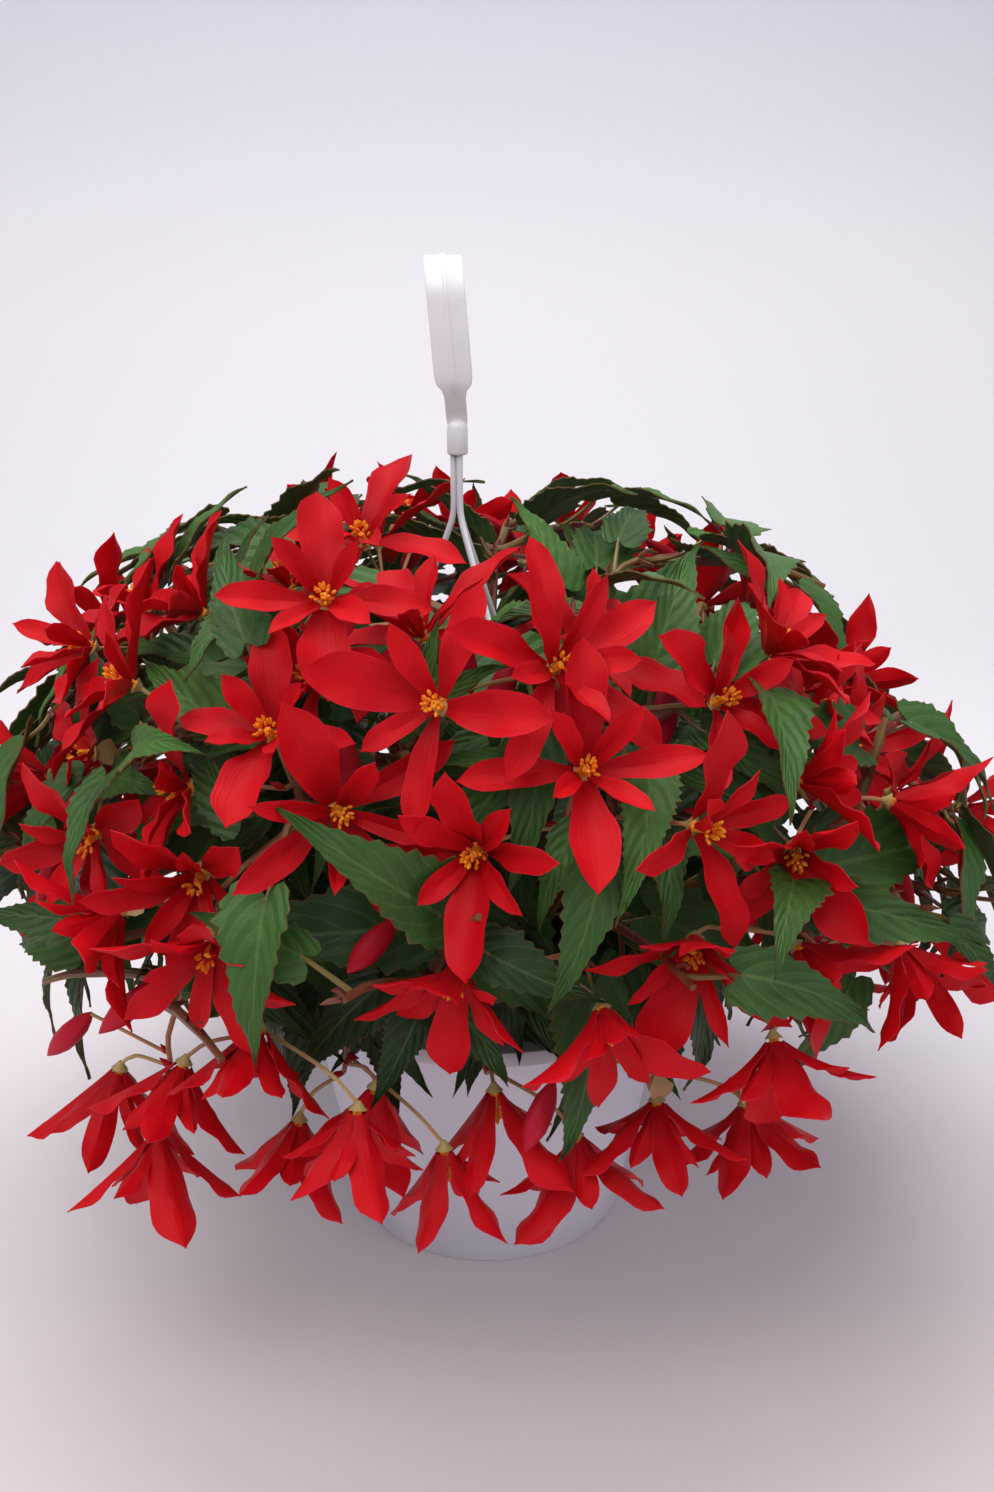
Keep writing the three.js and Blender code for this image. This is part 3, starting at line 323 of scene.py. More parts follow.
CLEAR_OF_STEM, CLEAR_OF_FORK = 8.0, 14.0
BLOOM_SPINS, BLOOM_SHIFTS, BUD_TRIES = 12, 5, 10
BLOOM_ASIDES, BLOOM_LEANS = (0, 18, -18), (0, 0.3, -0.3, 0.15)


def strand_route(azimuth):
    """From the socket down to the parting, out to the rim, through its hole and to the barb."""
    top = add((HANGER_X, 0, 0), place(azimuth, STRAND["bundle"], 0))
    foot = place(azimuth, STRAND["ring"], 0)
    parting, rim = STRAND["parting"], POT["height"]
    at = lambda p, z: (p[0], p[1], z)
    landing, entry = at(foot, rim + STRAND["landing"]), at(foot, rim + STRAND["entry"])
    bend_end = blend(at(top, parting), landing, 0.1)
    easing = at(top, parting + STRAND["easing"])
    bend = bezier_points([easing, at(top, parting), at(top, parting), bend_end], 2)
    return [at(top, STRAND["top"]), *bend, landing, entry, at(foot, BARB_TOP - BARB_HEIGHT + 1)]


def lay_stem(index, tier, azimuth, reach, height):
    t = TIERS[tier]
    draw = Draws(SEEDS["stem"] + index)
    wander = draw.around(STEM["wander"])
    foot = place(azimuth, t["ring"], SOIL_TOP + STEM["sunk"])
    apex = max(height + t["drop"] * 0.6, SOIL_TOP + t["rise"])
    arch = [
        foot,
        place(azimuth + wander, t["ring"] + (reach - t["ring"]) * t["lean"], SOIL_TOP + t["rise"]),
        place(azimuth + wander, t["ring"] + (reach - t["ring"]) * t["shoulder"], apex),
        place(azimuth, reach, height),
    ]
    points = [add(foot, (0, 0, -2 * STEM["sunk"])), *bezier_points(arch, STEM_STEPS)]
    name = f"leafy_stem_{index + 1:02d}"
    return {"name": name, "points": points, "leaves": [], "droop": t["droop"], "draw": draw}


def stem_radius(share):
    return STEM["radius"] + (STEM["tip"] - STEM["radius"]) * share


def outwards(point):
    return unit(sub(point, (0, 0, DOME_CENTRE)))


def make_bloom(base, facing, hang, spin, draw):
    female = draw() < BLOOM["female"]
    count = 5 if female else 4
    opened = radians(draw.between(BLOOM["open"], BLOOM["open_draw"]) - hang * BLOOM["closing"])
    stretch = draw.between(*TEPAL_STRETCH)
    side = square((1, 0, 0) if abs(facing[2]) > 0.9 else UP, facing)
    tepals = []
    for i in range(count):
        outer = not female and i % 2 == 0
        angle = radians(spin + (i * 360) / count + draw.around(TEPAL_TURN))
        away = turned(side, facing, angle)
        tilt = opened * BLOOM["outer_tilt" if outer else "inner_tilt"] + draw.around(TEPAL_TILT)
        heading = add(times(facing, math.cos(tilt)), away, math.sin(tilt))
        inner = add(times(facing, math.sin(tilt)), away, -math.cos(tilt))
        width = TEPAL["outer"] if outer else TEPAL["inner"] + (TEPAL["female"] if female else 0)
        tepals.append({
            "base": add(base, away, TEPAL["foot"]), "heading": heading, "inner": inner,
            "length": TEPAL["length"] * stretch * (1 if outer else TEPAL["shorter"]),
            "width": width * draw.between(*TEPAL_BREADTH), "curl": draw.between(*TEPAL_CURL),
        })
    return {"base": base, "facing": facing, "female": female, "tepals": tepals}


TEPAL_WIDTHS = [0.26, 0.52, 0.74, 0.9, 1, 0.98, 0.72, 0]


def tepal_width(u):
    at = min(max(u, 0), 1) * (len(TEPAL_WIDTHS) - 1)
    i = min(math.floor(at), len(TEPAL_WIDTHS) - 2)
    return TEPAL_WIDTHS[i] + (TEPAL_WIDTHS[i + 1] - TEPAL_WIDTHS[i]) * (at - i)


def bent_rows(base, heading, upper, length, bend, u):
    """Places along the middle of a bent blade, and which way its upper face looks at each."""
    base, heading, upper = (np.asarray(x, dtype=float) for x in (base, heading, upper))
    angle = bend * u
    reach, fall = np.sin(angle) / bend * length, (1 - np.cos(angle)) / bend * length
    points = base + np.outer(reach, heading) - np.outer(fall, upper)
    return points, np.outer(np.cos(angle), upper) + np.outer(np.sin(angle), heading)


def bloom_balls(bloom):
    points = []
    for t in bloom["tepals"]:
        rows = round(t["length"] / 4.4)
        grid = []
        for row in range(1, rows + 1):
            u = row / rows
            wide = tepal_width(u)
            columns = max(math.floor((t["width"] * wide) / 5 + 0.5), 1)
            for column in range(columns + 1):
                v = 0.5 * (column * 2 - 1) if columns == 1 else (column * 2) / columns - 1
                grid.append((u, v, wide))
        u, v, wide = np.array(grid).T
        middle, uppers = bent_rows(t["base"], t["heading"], t["inner"], t["length"], t["curl"], u)
        half = (t["width"] / 2) * wide
        across = np.array(cross(t["heading"], t["inner"]))
        lift = half * TEPAL["cup"] * v * v
        points.append(middle + np.outer(half * v, across) + uppers * lift[:, None])
    return np.concatenate(points)


def holds_for(stems, joint):
    """The places on the stems that a stalk to the joint could leave from, the nearest first."""
    holds = []
    for stem in stems:
        points = spaced(stem["points"], HOLD["step"], HOLD["first"])
        total = length_of(stem["points"])
        for i in range(1, len(points)):
            tangent = unit(sub(points[i], points[i - 1]))
            way = sub(joint, points[i])
            distance = size(way)
            if distance < HOLD["nearest"]:
                continue
            inward = math.hypot(joint[0], joint[1]) - math.hypot(points[i][0], points[i][1])
            cost = distance + max(0, -inward) * HOLD["outside"] + max(0, way[2]) * HOLD["above"]
            radius = stem_radius((HOLD["first"] + HOLD["step"] * i) / total)
            holds.append((cost, stem, points[i], tangent, radius))
    return sorted(holds, key=lambda hold: hold[0])[:HOLD["tried"]]


# How a spray is drawn out from its target: its joint, its stalk's bow, and its blooms' and buds' places
SPRAY = {"inset": 24, "lift": 6, "hanging_lift": 26, "bow_at": 0.55, "bow": 4, "hanging_bow": 6, "heel": 6,
         "enough": 0.5, "spin": 27, "shift": 7}
PEDICEL = {"out": 6, "length": 12, "drop": 14, "bow": 4, "neck": 10}
BUD = {"out": 10, "bow": 5, "neck": 9, "swing": 9}


def lay_spray(bush, stems, index, azimuth, reach, height, blooms, buds, hang, least=BLOOM["least"]):
    name = f"flower_spray_{index + 1:02d}"
    draw = Draws(SEEDS["spray"] + index)
    target = place(azimuth, reach, height)
    out = outwards(target)
    side = unit(cross(UP, out))
    up = cross(out, side)
    joint = add(add(target, out, -SPRAY["inset"]), UP, SPRAY["lift"] + SPRAY["hanging_lift"] * hang)
    best = None
    for _, stem, hold, tangent, radius in holds_for(stems, joint):
        away = square(sub(joint, hold), tangent)
        foot = add(hold, away, radius * HOLD["seat"] + GAP)
        heel = add(foot, away, HOLD["heel"])
        middle = add(blend(foot, joint, SPRAY["bow_at"]), out, SPRAY["bow"] + SPRAY["hanging_bow"] * hang)
        stalk = [foot, *bezier_points([heel, add(heel, away, SPRAY["heel"]), middle, joint], STALK_STEPS)]
        near = bush.room(spaced(stalk, BALL_STEP), STALK_RADIUS + MARGIN, stem["name"])
        gap = min(near, bush.room(spaced(stalk, BALL_STEP, CLEAR_OF_STEM), STALK_RADIUS + MARGIN))
        if best is None or gap > best[0]:
            best = (gap, stalk)
        if gap > SPRAY["enough"]:
            break
    if best[0] < least and least < BLOOM["least"]:
        return None
    stalk = best[1]
    spray = {"name": name, "stalk": stalk, "blooms": [], "buds": []}
    bush.occupy(spaced(stalk, BALL_STEP, HOLD["heel"]), STALK_RADIUS + MARGIN, name)
    end = stalk[-1]
    forks = spaced(stalk[::-1], FORK_STEP, FORK_FIRST + FORK_STEP / 2)

    def pedicel_room(pedicel, least):
        gap = bush.room(spaced(pedicel, BALL_STEP), PEDICEL_RADIUS + MARGIN, name, least)
        if gap <= least:
            return gap
        beyond = spaced(pedicel, BALL_STEP, CLEAR_OF_FORK)
        return min(gap, bush.room(beyond, PEDICEL_RADIUS + MARGIN, None, least))

    for number, (across, along) in enumerate(FANS[blooms]):
        fork = forks[len(spray["blooms"]) - 1] if spray["blooms"] else end
        chosen = None
        for attempt in range(len(BLOOM_ASIDES) * BLOOM_SHIFTS * BLOOM_SPINS):
            if chosen and chosen[0] > BLOOM["clear"]:
                break
            aside = BLOOM_ASIDES[attempt // (BLOOM_SHIFTS * BLOOM_SPINS)]
            shift = ((attempt // BLOOM_SPINS) % BLOOM_SHIFTS) * SPRAY["shift"]
            lean = BLOOM_LEANS[attempt % len(BLOOM_LEANS)]
            spin = (attempt % BLOOM_SPINS) * SPRAY["spin"]
            spread = unit(add(add(out, side, across / 55 + lean), up, along / 60))
            facing = unit(blend(spread, add(DOWN, spread, 0.25), hang))
            foot = add(add(end, side, across * (1 + shift / 60) + aside), up, along)
            base = add(foot, out, PEDICEL["out"] + (PEDICEL["length"] + shift) * (1 - hang * 0.5))
            base = (base[0], base[1], base[2] - (PEDICEL["drop"] + shift * 0.4) * hang)
            seed = SEEDS["bloom"] + index * SEEDS["blooms"] + number
            bloom = make_bloom(base, facing, hang, spin, Draws(seed))
            lift = add(blend(end, base, 0.5), blend(out, UP, hang), PEDICEL["bow"] * (1 + hang))
            neck, seat = add(base, facing, -PEDICEL["neck"]), add(base, facing, -TEPAL["foot"])
            pedicel = bezier_points([fork, lift, neck, seat], PEDICEL_STEPS)
            best_gap = chosen[0] if chosen else NO_ROOM
            gap = pedicel_room(pedicel, best_gap)
            if chosen and gap <= best_gap:
                continue
            balls = bloom_balls(bloom)
            gap = min(gap, bush.room(balls, SHEET, None, best_gap))
            if chosen is None or gap > best_gap:
                chosen = (gap, bloom, pedicel, balls)
        gap, bloom, pedicel, balls = chosen
        if gap < least:
            continue
        spray["blooms"].append({**bloom, "pedicel": pedicel})
        bush.occupy(balls, SHEET, f"{name} blooms")
        bush.occupy(spaced(pedicel, BALL_STEP), PEDICEL_RADIUS + MARGIN, name)

    for i in range(buds if spray["blooms"] else 0):
        across, along = BUD_FANS[i]
        for attempt in range(BUD_TRIES):
            swing = (attempt - 4) * BUD["swing"] * (1 if i == 0 else -1)
            foot = add(add(end, side, across + swing), up, along * (1 - hang * 0.6))
            base = add(foot, out, BUD["out"])
            heading = unit(add(add((0, 0, -1.1), out, 0.5), side, (across + swing) / 50))
            length = BUD_LENGTH * draw.between(*BUD_SIZE)
            lift = add(blend(end, base, 0.5), out, BUD["bow"])
            fork = forks[len(spray["blooms"]) - 1 + len(spray["buds"])]
            pedicel = bezier_points([fork, lift, add(base, heading, -BUD["neck"]), base], PEDICEL_STEPS)
            balls = spaced([base, add(base, heading, length)], BALL_STEP)
            if min(pedicel_room(pedicel, NO_ROOM), bush.room(balls, BUD_WIDTH / 2 + MARGIN)) < 0:
                continue
            bud = {"base": base, "heading": heading, "flat": out, "length": length, "pedicel": pedicel}
            spray["buds"].append(bud)
            bush.occupy(balls, BUD_WIDTH / 2 + MARGIN, f"{name} blooms")
            bush.occupy(spaced(pedicel, BALL_STEP), PEDICEL_RADIUS + MARGIN, name)
            break
    return spray


LOBE = {"start": -0.07, "widest": 0.16, "excess": 0.16}
SICKLE = 0.1


def leaf_half(u):
    """Half a leaf's width at a place along it, as a share of its widest."""
    if u < 0:
        return 0.5 + (u - LOBE["start"]) * 4
    if u < LOBE["widest"]:
        return 0.85 + 0.15 * (u / LOBE["widest"])
    return max(0, math.pow(1 - (u - LOBE["widest"]) / (1 - LOBE["widest"]), 1.25))


def on_leaf(leaf, u, v, lift):
    """Places on a leaf's bent, folded and lopsided blade, lifted off its face."""
    points, uppers = bent_rows(leaf["base"], leaf["heading"], leaf["upper"], leaf["length"], leaf["arch"],
                               u)
    half = leaf["half"] * (1 + LOBE["excess"] * leaf["side"] * np.sign(v))
    across = leaf["side"] * leaf["length"] * SICKLE * u * u + v * half * math.cos(LEAF["fold"])
    lean = math.sin(LEAF["fold"]) * np.abs(v) * half + lift
    return points + np.outer(across, cross(leaf["heading"], leaf["upper"])) + uppers * lean[:, None]


def leaf_balls(leaf):
    grid = []
    rows = math.floor(leaf["length"] / 4.2 + 0.5)
    for row in range(rows + 1):
        u = row / rows
        wide = leaf_half(u)
        columns = max(math.floor((leaf["half"] * 2 * wide) / 4.8 + 0.5), 1)
        grid += [(u, wide * ((column * 2) / columns - 1)) for column in range(columns + 1)]
    u, v = np.array(grid).T
    return on_leaf(leaf, u, v, 0)


LEAF_TRIES = [
    (1, [0, 14, -12, 28, 42, -24, 58], [0, 16, -12, 32]),
    (0.8, [0, 18, -14, 36, 54, -28, 72], [0, 20, -16, 40]),
]


def lay_leaf(bush, stem, point, tangent, side, age, seed, clear=LEAF["clear"], tries=None):
    """Tries ways to turn and tip one leaf until it is clear. side is 1, -1, or 0 at the tip."""
    draw = Draws(seed)
    out = outwards(point)
    aside = times(unit(cross(out, tangent)), side)
    full = LEAF["length"] * draw.between(*LEAF_SIZE) * age
    arch = draw.between(*LEAF_ARCH)
    tilt = draw() * LEAF_TILT
    spread = 0 if side == 0 else draw.between(*LEAF_SPREAD)
    for scale, yaws, pitches in tries or LEAF_TRIES:
        for pitch in pitches:
            for yaw in yaws:
                for reach_out in (1, 0.6):
                    stalk_way = unit(add(add(times(tangent, 0.45), aside, 0.9), out, 0.5 + pitch / 50))
                    angle = radians(yaw) * (side or 1)
                    flat = turned(unit(add(tangent, aside, spread)), out, angle)
                    lifted = add(flat, out, 0.1 + math.tan(radians(pitch)) * 0.6)
                    heading = unit(add(lifted, DOWN, stem["droop"]))
                    upper = square(add(out, aside, tilt), heading)
                    stalk_length = (PETIOLE["length"] + PETIOLE["growth"] * age) * reach_out
                    base = add(point, stalk_way, stalk_length)
                    length = full * scale
                    leaf = {"base": base, "heading": heading, "upper": upper, "length": length,
                            "half": (length * LEAF["breadth"]) / 2, "arch": arch, "side": side or 1}
                    foot = add(point, stalk_way, STEM["tip"] * 0.5)
                    petiole = spaced([foot, base], BALL_STEP)
                    if bush.room(petiole, PETIOLE["radius"] + MARGIN, stem["name"], clear) < clear:
                        continue
                    balls = leaf_balls(leaf)
                    if bush.room(balls, SHEET, None, clear) < clear:
                        continue
                    stem["leaves"].append({**leaf, "petiole": [foot, base]})
                    bush.occupy(balls, SHEET, stem["name"])
                    bush.occupy(petiole, PETIOLE["radius"] + MARGIN, stem["name"])
                    return True
    return False


LEAF_SEEDS = {"first": 3000, "step": 40}
LEAF_FIRST = 5
AGE = {"tip": 0.82, "young": 0.8, "step": 0.07, "old": 1.12}


def leaf_stations(stem):
    """Points from the stem's tip down, and the way that it grows at each."""
    route = spaced(stem["points"], ROUTE_STEP)[::-1]
    return route, [unit(sub(point, route[min(i + 2, len(route) - 1)])) for i, point in enumerate(route)]


def lay_leaves(bush, stem, index):
    route, ways = leaf_stations(stem)
    seed = LEAF_SEEDS["first"] + index * LEAF_SEEDS["step"]
    lay_leaf(bush, stem, route[0], ways[0], 0, AGE["tip"], seed)
    side = 1 if stem["draw"]() < 0.5 else -1
    number = 1
    for i in range(LEAF_FIRST, len(route), math.floor(LEAF["spacing"] / ROUTE_STEP + 0.5)):
        point = route[i]
        if point[2] < SOIL_TOP + LEAF["lowest"] and math.hypot(point[0], point[1]) < RIM_REACH + RIM_LIP:
            break
        age = min(AGE["old"], AGE["young"] + number * AGE["step"])
        lay_leaf(bush, stem, point, ways[i], side, age, seed + number)
        side = -side
        number += 1


# Stems that droop this much get their leaves before the sprays are laid
EARLY_DROOP = 1


def lay_plant():
    """The plant as the part's solids have it."""
    bush = Bush()
    for way, azimuth in STRAND_WAYS.items():
        bush.occupy(spaced(strand_route(azimuth), BALL_STEP), STRAND["radius"] + 2 * MARGIN, way)
    stems = [lay_stem(i, *spec) for i, spec in enumerate(STEMS)]
    for stem in stems:
        bush.occupy(spaced(stem["points"], BALL_STEP), STEM["radius"] + MARGIN, stem["name"])
    for i, stem in enumerate(stems):
        if stem["droop"] >= EARLY_DROOP:
            lay_leaves(bush, stem, i)
    sprays = [lay_spray(bush, stems, i, *spec) for i, spec in enumerate(SPRAYS)]
    for i, stem in enumerate(stems):
        if stem["droop"] < EARLY_DROOP:
            lay_leaves(bush, stem, i)
    return bush, stems, sprays


# What the solids leave out: rim stems, side shoots, more sprays and leaves between the leaves

MORE_RIM_AZIMUTHS = (232, 258, 272, 286, 312, 334, 204, 176, 148, 116, 84, 52, 20, 356)
MORE_RIM_STEMS = [(azimuth, 136 + 12 * (i % 3), 196 + 9 * (i % 4))
                  for i, azimuth in enumerate(MORE_RIM_AZIMUTHS)]
RIM_SWINGS = (0, 4, -4, 8, -8)
MORE_SHOOTS = 84
MORE_SAG = 36.0
MORE_SPRAYS = 30
MORE_LEAF_TRIES = [
    (1, (0, 24, -24, 56), (0, 26, -26)),
    (0.72, (0, 30, -30, 70), (0, 34, -34)),
]
MORE_LEAVES = {"clear": -0.9, "step": 26, "lowest": 8, "first": 3, "young": 0.8, "ageing": 0.05}
# Sprays go round in even turns from high to low. None is wanted low at the front
MORE_BLOOMS = {"least": -1.4, "front": (212, 332), "front_top": 300, "high": 356, "span": 216, "turn": 40,
               "inset": 6, "count": 3, "hangs_from": 335, "hangs_over": 170}
SHOOT = {"radius": 1.7, "tip": 1.1, "leaves": 5, "step": 15, "first": 3, "stands_out": 13, "clear": -1.6,
         "high": 380, "low": 186, "turn": 12, "crowding": 1.2, "hangs_from": 300, "hangs_over": 130,
         "least_droop": 0.1, "ageing": 0.08}
SHOOT_BOW = {"at": 0.6, "out": 4, "up": 10, "heel": 3, "away": 10}
# How far out blooms stand: height and reach
DOME = ((376, 90), (360, 130), (345, 170), (320, 196), (290, 214), (250, 226), (210, 230), (170, 222),
        (140, 190))
# The turn between neighbours that keeps them evenly spread, as seeds sit in a flower head
LATTICE_TURN = 137.5
MORE_LIMIT = 269.0
# Reach and height of the outermost leaves, then the plant's upper and lower edge as the camera sees it
CEILING = ((0, 425), (90, 418), (130, 405), (175, 386), (225, 352), (250, 300), (269, 250))
SKYLINE = ((-265, 275), (-253, 312), (-229, 358), (-175, 396), (-128, 416), (-60, 412), (28, 409),
           (81, 406), (119, 386), (154, 352), (183, 320), (210, 302), (240, 288), (265, 255))
HEMLINE = ((-265, 150), (-214, 95), (-130, 70), (-60, 52), (60, 52), (100, 32), (135, 30), (160, 65),
           (265, 120))
VIEWPOINT = (4.5, -725.0, 511.0)
# The window that keeps the strands in view, and how far every fourth shoot may pass the skyline
STRANDS_IN_VIEW = {"left": -34.0, "right": 6.0, "low": 346.0}
SPIRES = {"every": 4, "spare": 20.0}


def free_for_more(points, spare):
    """Whether points keep to the box and the skyline and, in front, clear of the hem and the strands."""
    x, y, z = points.T
    if np.abs(points[:, :2]).max() > MORE_LIMIT:
        return False
    if np.any(z > np.interp(np.hypot(x, y), *zip(*CEILING)) + spare):
        return False
    nearer = -VIEWPOINT[1] / (y - VIEWPOINT[1])
    seen_x = VIEWPOINT[0] + (x - VIEWPOINT[0]) * nearer
    seen_z = VIEWPOINT[2] + (z - VIEWPOINT[2]) * nearer
    if np.any(seen_z > np.interp(seen_x, *zip(*SKYLINE)) + spare):
        return False
    strands = (seen_x > STRANDS_IN_VIEW["left"]) & (seen_x < STRANDS_IN_VIEW["right"])
    hiding = strands & (seen_z > STRANDS_IN_VIEW["low"])
    hanging = seen_z < np.interp(seen_x, *zip(*HEMLINE))
    return not np.any((hiding | hanging) & (y < 0))


def dome_reach(height):
    """How far out the blooms stand at a height."""
    return float(np.interp(height, *zip(*DOME[::-1])))


def sagging(azimuth):
    """How much lower the right-hand side hangs."""
    return MORE_SAG * max(math.cos(radians(azimuth)), 0)


def hanging(height, kind):
    """How much a spray or shoot at a height hangs, from 0 to 1."""
    return min(max((kind["hangs_from"] - height) / kind["hangs_over"], 0), 1)


def lay_shoot(bush, stems, index, azimuth, height):
    """A leafy side shoot that leaves a stem and ends just outside the blooms."""
    tip = place(azimuth, dome_reach(height) + SHOOT["stands_out"], height)
    out = outwards(tip)
    best = None
    for _, _, hold, tangent, radius in holds_for(stems, tip):
        away = square(sub(tip, hold), tangent)
        foot = add(hold, away, radius * 0.5)
        middle = add(add(blend(foot, tip, SHOOT_BOW["at"]), out, SHOOT_BOW["out"]), UP, SHOOT_BOW["up"])
        heel, bow = add(foot, away, SHOOT_BOW["heel"]), add(foot, away, SHOOT_BOW["away"])
        path = [foot, *bezier_points([heel, bow, middle, tip], SHOOT_STEPS)]
        gap = bush.room(spaced(path, BALL_STEP, CLEAR_OF_STEM), SHOOT["radius"])
        if best is None or gap > best[0]:
            best = (gap, path)
        if gap > 0:
            break
    if best[0] < SHOOT["clear"]:
        return None
    shoot = {"name": f"leafy_shoot_{index + 1:02d}", "points": best[1], "leaves": [],
             "droop": SHOOT["least_droop"] + hanging(height, SHOOT)}
    route, ways = leaf_stations(shoot)
    seed = 3 * LEAF_SEEDS["first"] + index * LEAF_SEEDS["step"]
    clear = MORE_LEAVES["clear"]
    lay_leaf(bush, shoot, route[0], ways[0], 0, AGE["tip"], seed, clear, MORE_LEAF_TRIES)
    side = 1 if index % 2 else -1
    for number in range(SHOOT["leaves"]):
        i = SHOOT["first"] + number * (SHOOT["step"] // ROUTE_STEP)
        if i >= len(route) - 4:
            break
        age = min(AGE["old"], AGE["young"] + number * SHOOT["ageing"])
        lay_leaf(bush, shoot, route[i], ways[i], side, age, seed + number + 1, clear, MORE_LEAF_TRIES)
        side = -side
    bush.occupy(spaced(best[1], BALL_STEP), SHOOT["radius"], shoot["name"])
    for leaf in shoot["leaves"]:
        leaf["filler"] = True
    return shoot


def lay_more(bush, stems, sprays):
    """Closes the plant up, with blades allowed to touch."""
    bush.filling = True
    for i, (azimuth, reach, height) in enumerate(MORE_RIM_STEMS):
        options = []
        for swing in RIM_SWINGS:
            stem = lay_stem(len(STEMS) + i, "rim", azimuth + swing, reach, height)
            gap = bush.room(spaced(stem["points"], BALL_STEP, 2 * STEM["sunk"]), STEM["tip"])
            options.append((gap, -abs(swing), stem))
        gap, _, stem = max(options, key=lambda option: option[:2])
        if gap > MORE_LEAVES["clear"]:
            stems.append(stem)
            bush.occupy(spaced(stem["points"], BALL_STEP), STEM["tip"], stem["name"])
    for i, stem in enumerate(stems):
        if stem["droop"] >= EARLY_DROOP:
            lay_more_leaves(bush, stem, i)
    shoots = []
    for i in range(MORE_SHOOTS):
        share = (i + 0.5) / MORE_SHOOTS
        azimuth = (i * LATTICE_TURN + SHOOT["turn"]) % 360
        fall = (SHOOT["high"] - SHOOT["low"]) * share ** SHOOT["crowding"]
        height = SHOOT["high"] - fall - sagging(azimuth)
        bush.spare = SPIRES["spare"] if i % SPIRES["every"] == 0 else 0.0
        shoot = lay_shoot(bush, stems, i, azimuth, height)
        if shoot and shoot["leaves"]:
            shoots.append(shoot)
    bush.spare = 0.0
    for i in range(MORE_SPRAYS):
        share = (i + 0.5) / MORE_SPRAYS
        azimuth = (i * LATTICE_TURN + MORE_BLOOMS["turn"]) % 360
        height = MORE_BLOOMS["high"] - MORE_BLOOMS["span"] * share - sagging(azimuth)
        in_front = MORE_BLOOMS["front"][0] < azimuth < MORE_BLOOMS["front"][1]
        if in_front and height < MORE_BLOOMS["front_top"]:
            continue
        spray = lay_spray(bush, stems, len(SPRAYS) + i, azimuth, dome_reach(height) - MORE_BLOOMS["inset"],
                          height, MORE_BLOOMS["count"], i % 2, hanging(height, MORE_BLOOMS),
                          MORE_BLOOMS["least"])
        if spray and spray["blooms"]:
            sprays.append(spray)
    for i, stem in enumerate(stems):
        if stem["droop"] < EARLY_DROOP:
            lay_more_leaves(bush, stem, i)
    stems.extend(shoots)


def lay_more_leaves(bush, stem, index):
    route, ways = leaf_stations(stem)
    seed = 2 * LEAF_SEEDS["first"] + index * LEAF_SEEDS["step"]
    for number, i in enumerate(range(MORE_LEAVES["first"], len(route), MORE_LEAVES["step"] // ROUTE_STEP)):
        if route[i][2] < SOIL_TOP + MORE_LEAVES["lowest"]:
            break
        age = min(AGE["old"], MORE_LEAVES["young"] + number * MORE_LEAVES["ageing"])
        for side in (1, -1):
            if lay_leaf(bush, stem, route[i], ways[i], side, age, seed + 2 * number + (side > 0),
                        MORE_LEAVES["clear"], MORE_LEAF_TRIES):
                stem["leaves"][-1]["filler"] = True
                break


# Mesh making


def deselect():
    if bpy.context.object and bpy.context.object.mode != "OBJECT":
        bpy.ops.object.mode_set(mode="OBJECT")
    bpy.ops.object.select_all(action="DESELECT")


def activate(obj):
    deselect()
    obj.select_set(True)
    bpy.context.view_layer.objects.active = obj


def settle(obj, name, materials, replaced):
    """Puts a finished piece's place in its mesh, names it and seats it on the object."""
    activate(obj)
    bpy.ops.object.transform_apply(location=True, rotation=True, scale=True)
    obj.name = name
    obj.data.name = name
    if not obj.data.materials:
        for material in materials:
            obj.data.materials.append(material)
    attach(obj, "root")
    stood_for = [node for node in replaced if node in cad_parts]
    if stood_for:
        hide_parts(*stood_for)


def smooth(obj, degrees):
    """Smooth shading, with edges kept sharp where faces turn by more than this."""
    activate(obj)
    bpy.ops.object.shade_smooth_by_angle(angle=math.radians(degrees))


def turned_shell(profile, sides):
    """A round body: a disc drawn up and in or out through the radii and heights of its profile, in mm."""
    deselect()
    radius, height = profile[0]
    bpy.ops.mesh.primitive_circle_add(vertices=sides, radius=radius * MM, fill_type="NGON",
                                      location=(0, 0, height * MM))
    shell = bpy.context.object
    bpy.ops.object.transform_apply(location=True)
    bpy.ops.object.mode_set(mode="EDIT")
    bpy.ops.mesh.select_mode(type="FACE")
    for next_radius, next_height in profile[1:]:
        rise = (next_height - height) * MM
        bpy.ops.mesh.extrude_region_move(TRANSFORM_OT_translate={"value": (0, 0, rise)})
        share = next_radius / radius
        bpy.ops.transform.resize(value=(share, share, 1), center_override=(0, 0, 0))
        radius, height = next_radius, next_height
    bpy.ops.mesh.select_all(action="SELECT")
    bpy.ops.mesh.normals_make_consistent(inside=False)
    bpy.ops.object.mode_set(mode="OBJECT")
    return shell


def combine(body, other, operation):
    """Cuts the other body from this one or joins it on, and deletes the other."""
    activate(body)
    step = body.modifiers.new("combine", "BOOLEAN")
    step.operation = operation
    step.object = other
    bpy.ops.object.modifier_apply(modifier=step.name)
    bpy.data.objects.remove(other)


def bore(shell, x, y, radius, low, high, sides=24):
    """Cuts a round hole along Z with a cylinder."""
    deselect()
    bpy.ops.mesh.primitive_cylinder_add(vertices=sides, radius=radius * MM, depth=(high - low) * MM,
                                        location=(x * MM, y * MM, (low + high) / 2 * MM))
    combine(shell, bpy.context.object, "DIFFERENCE")


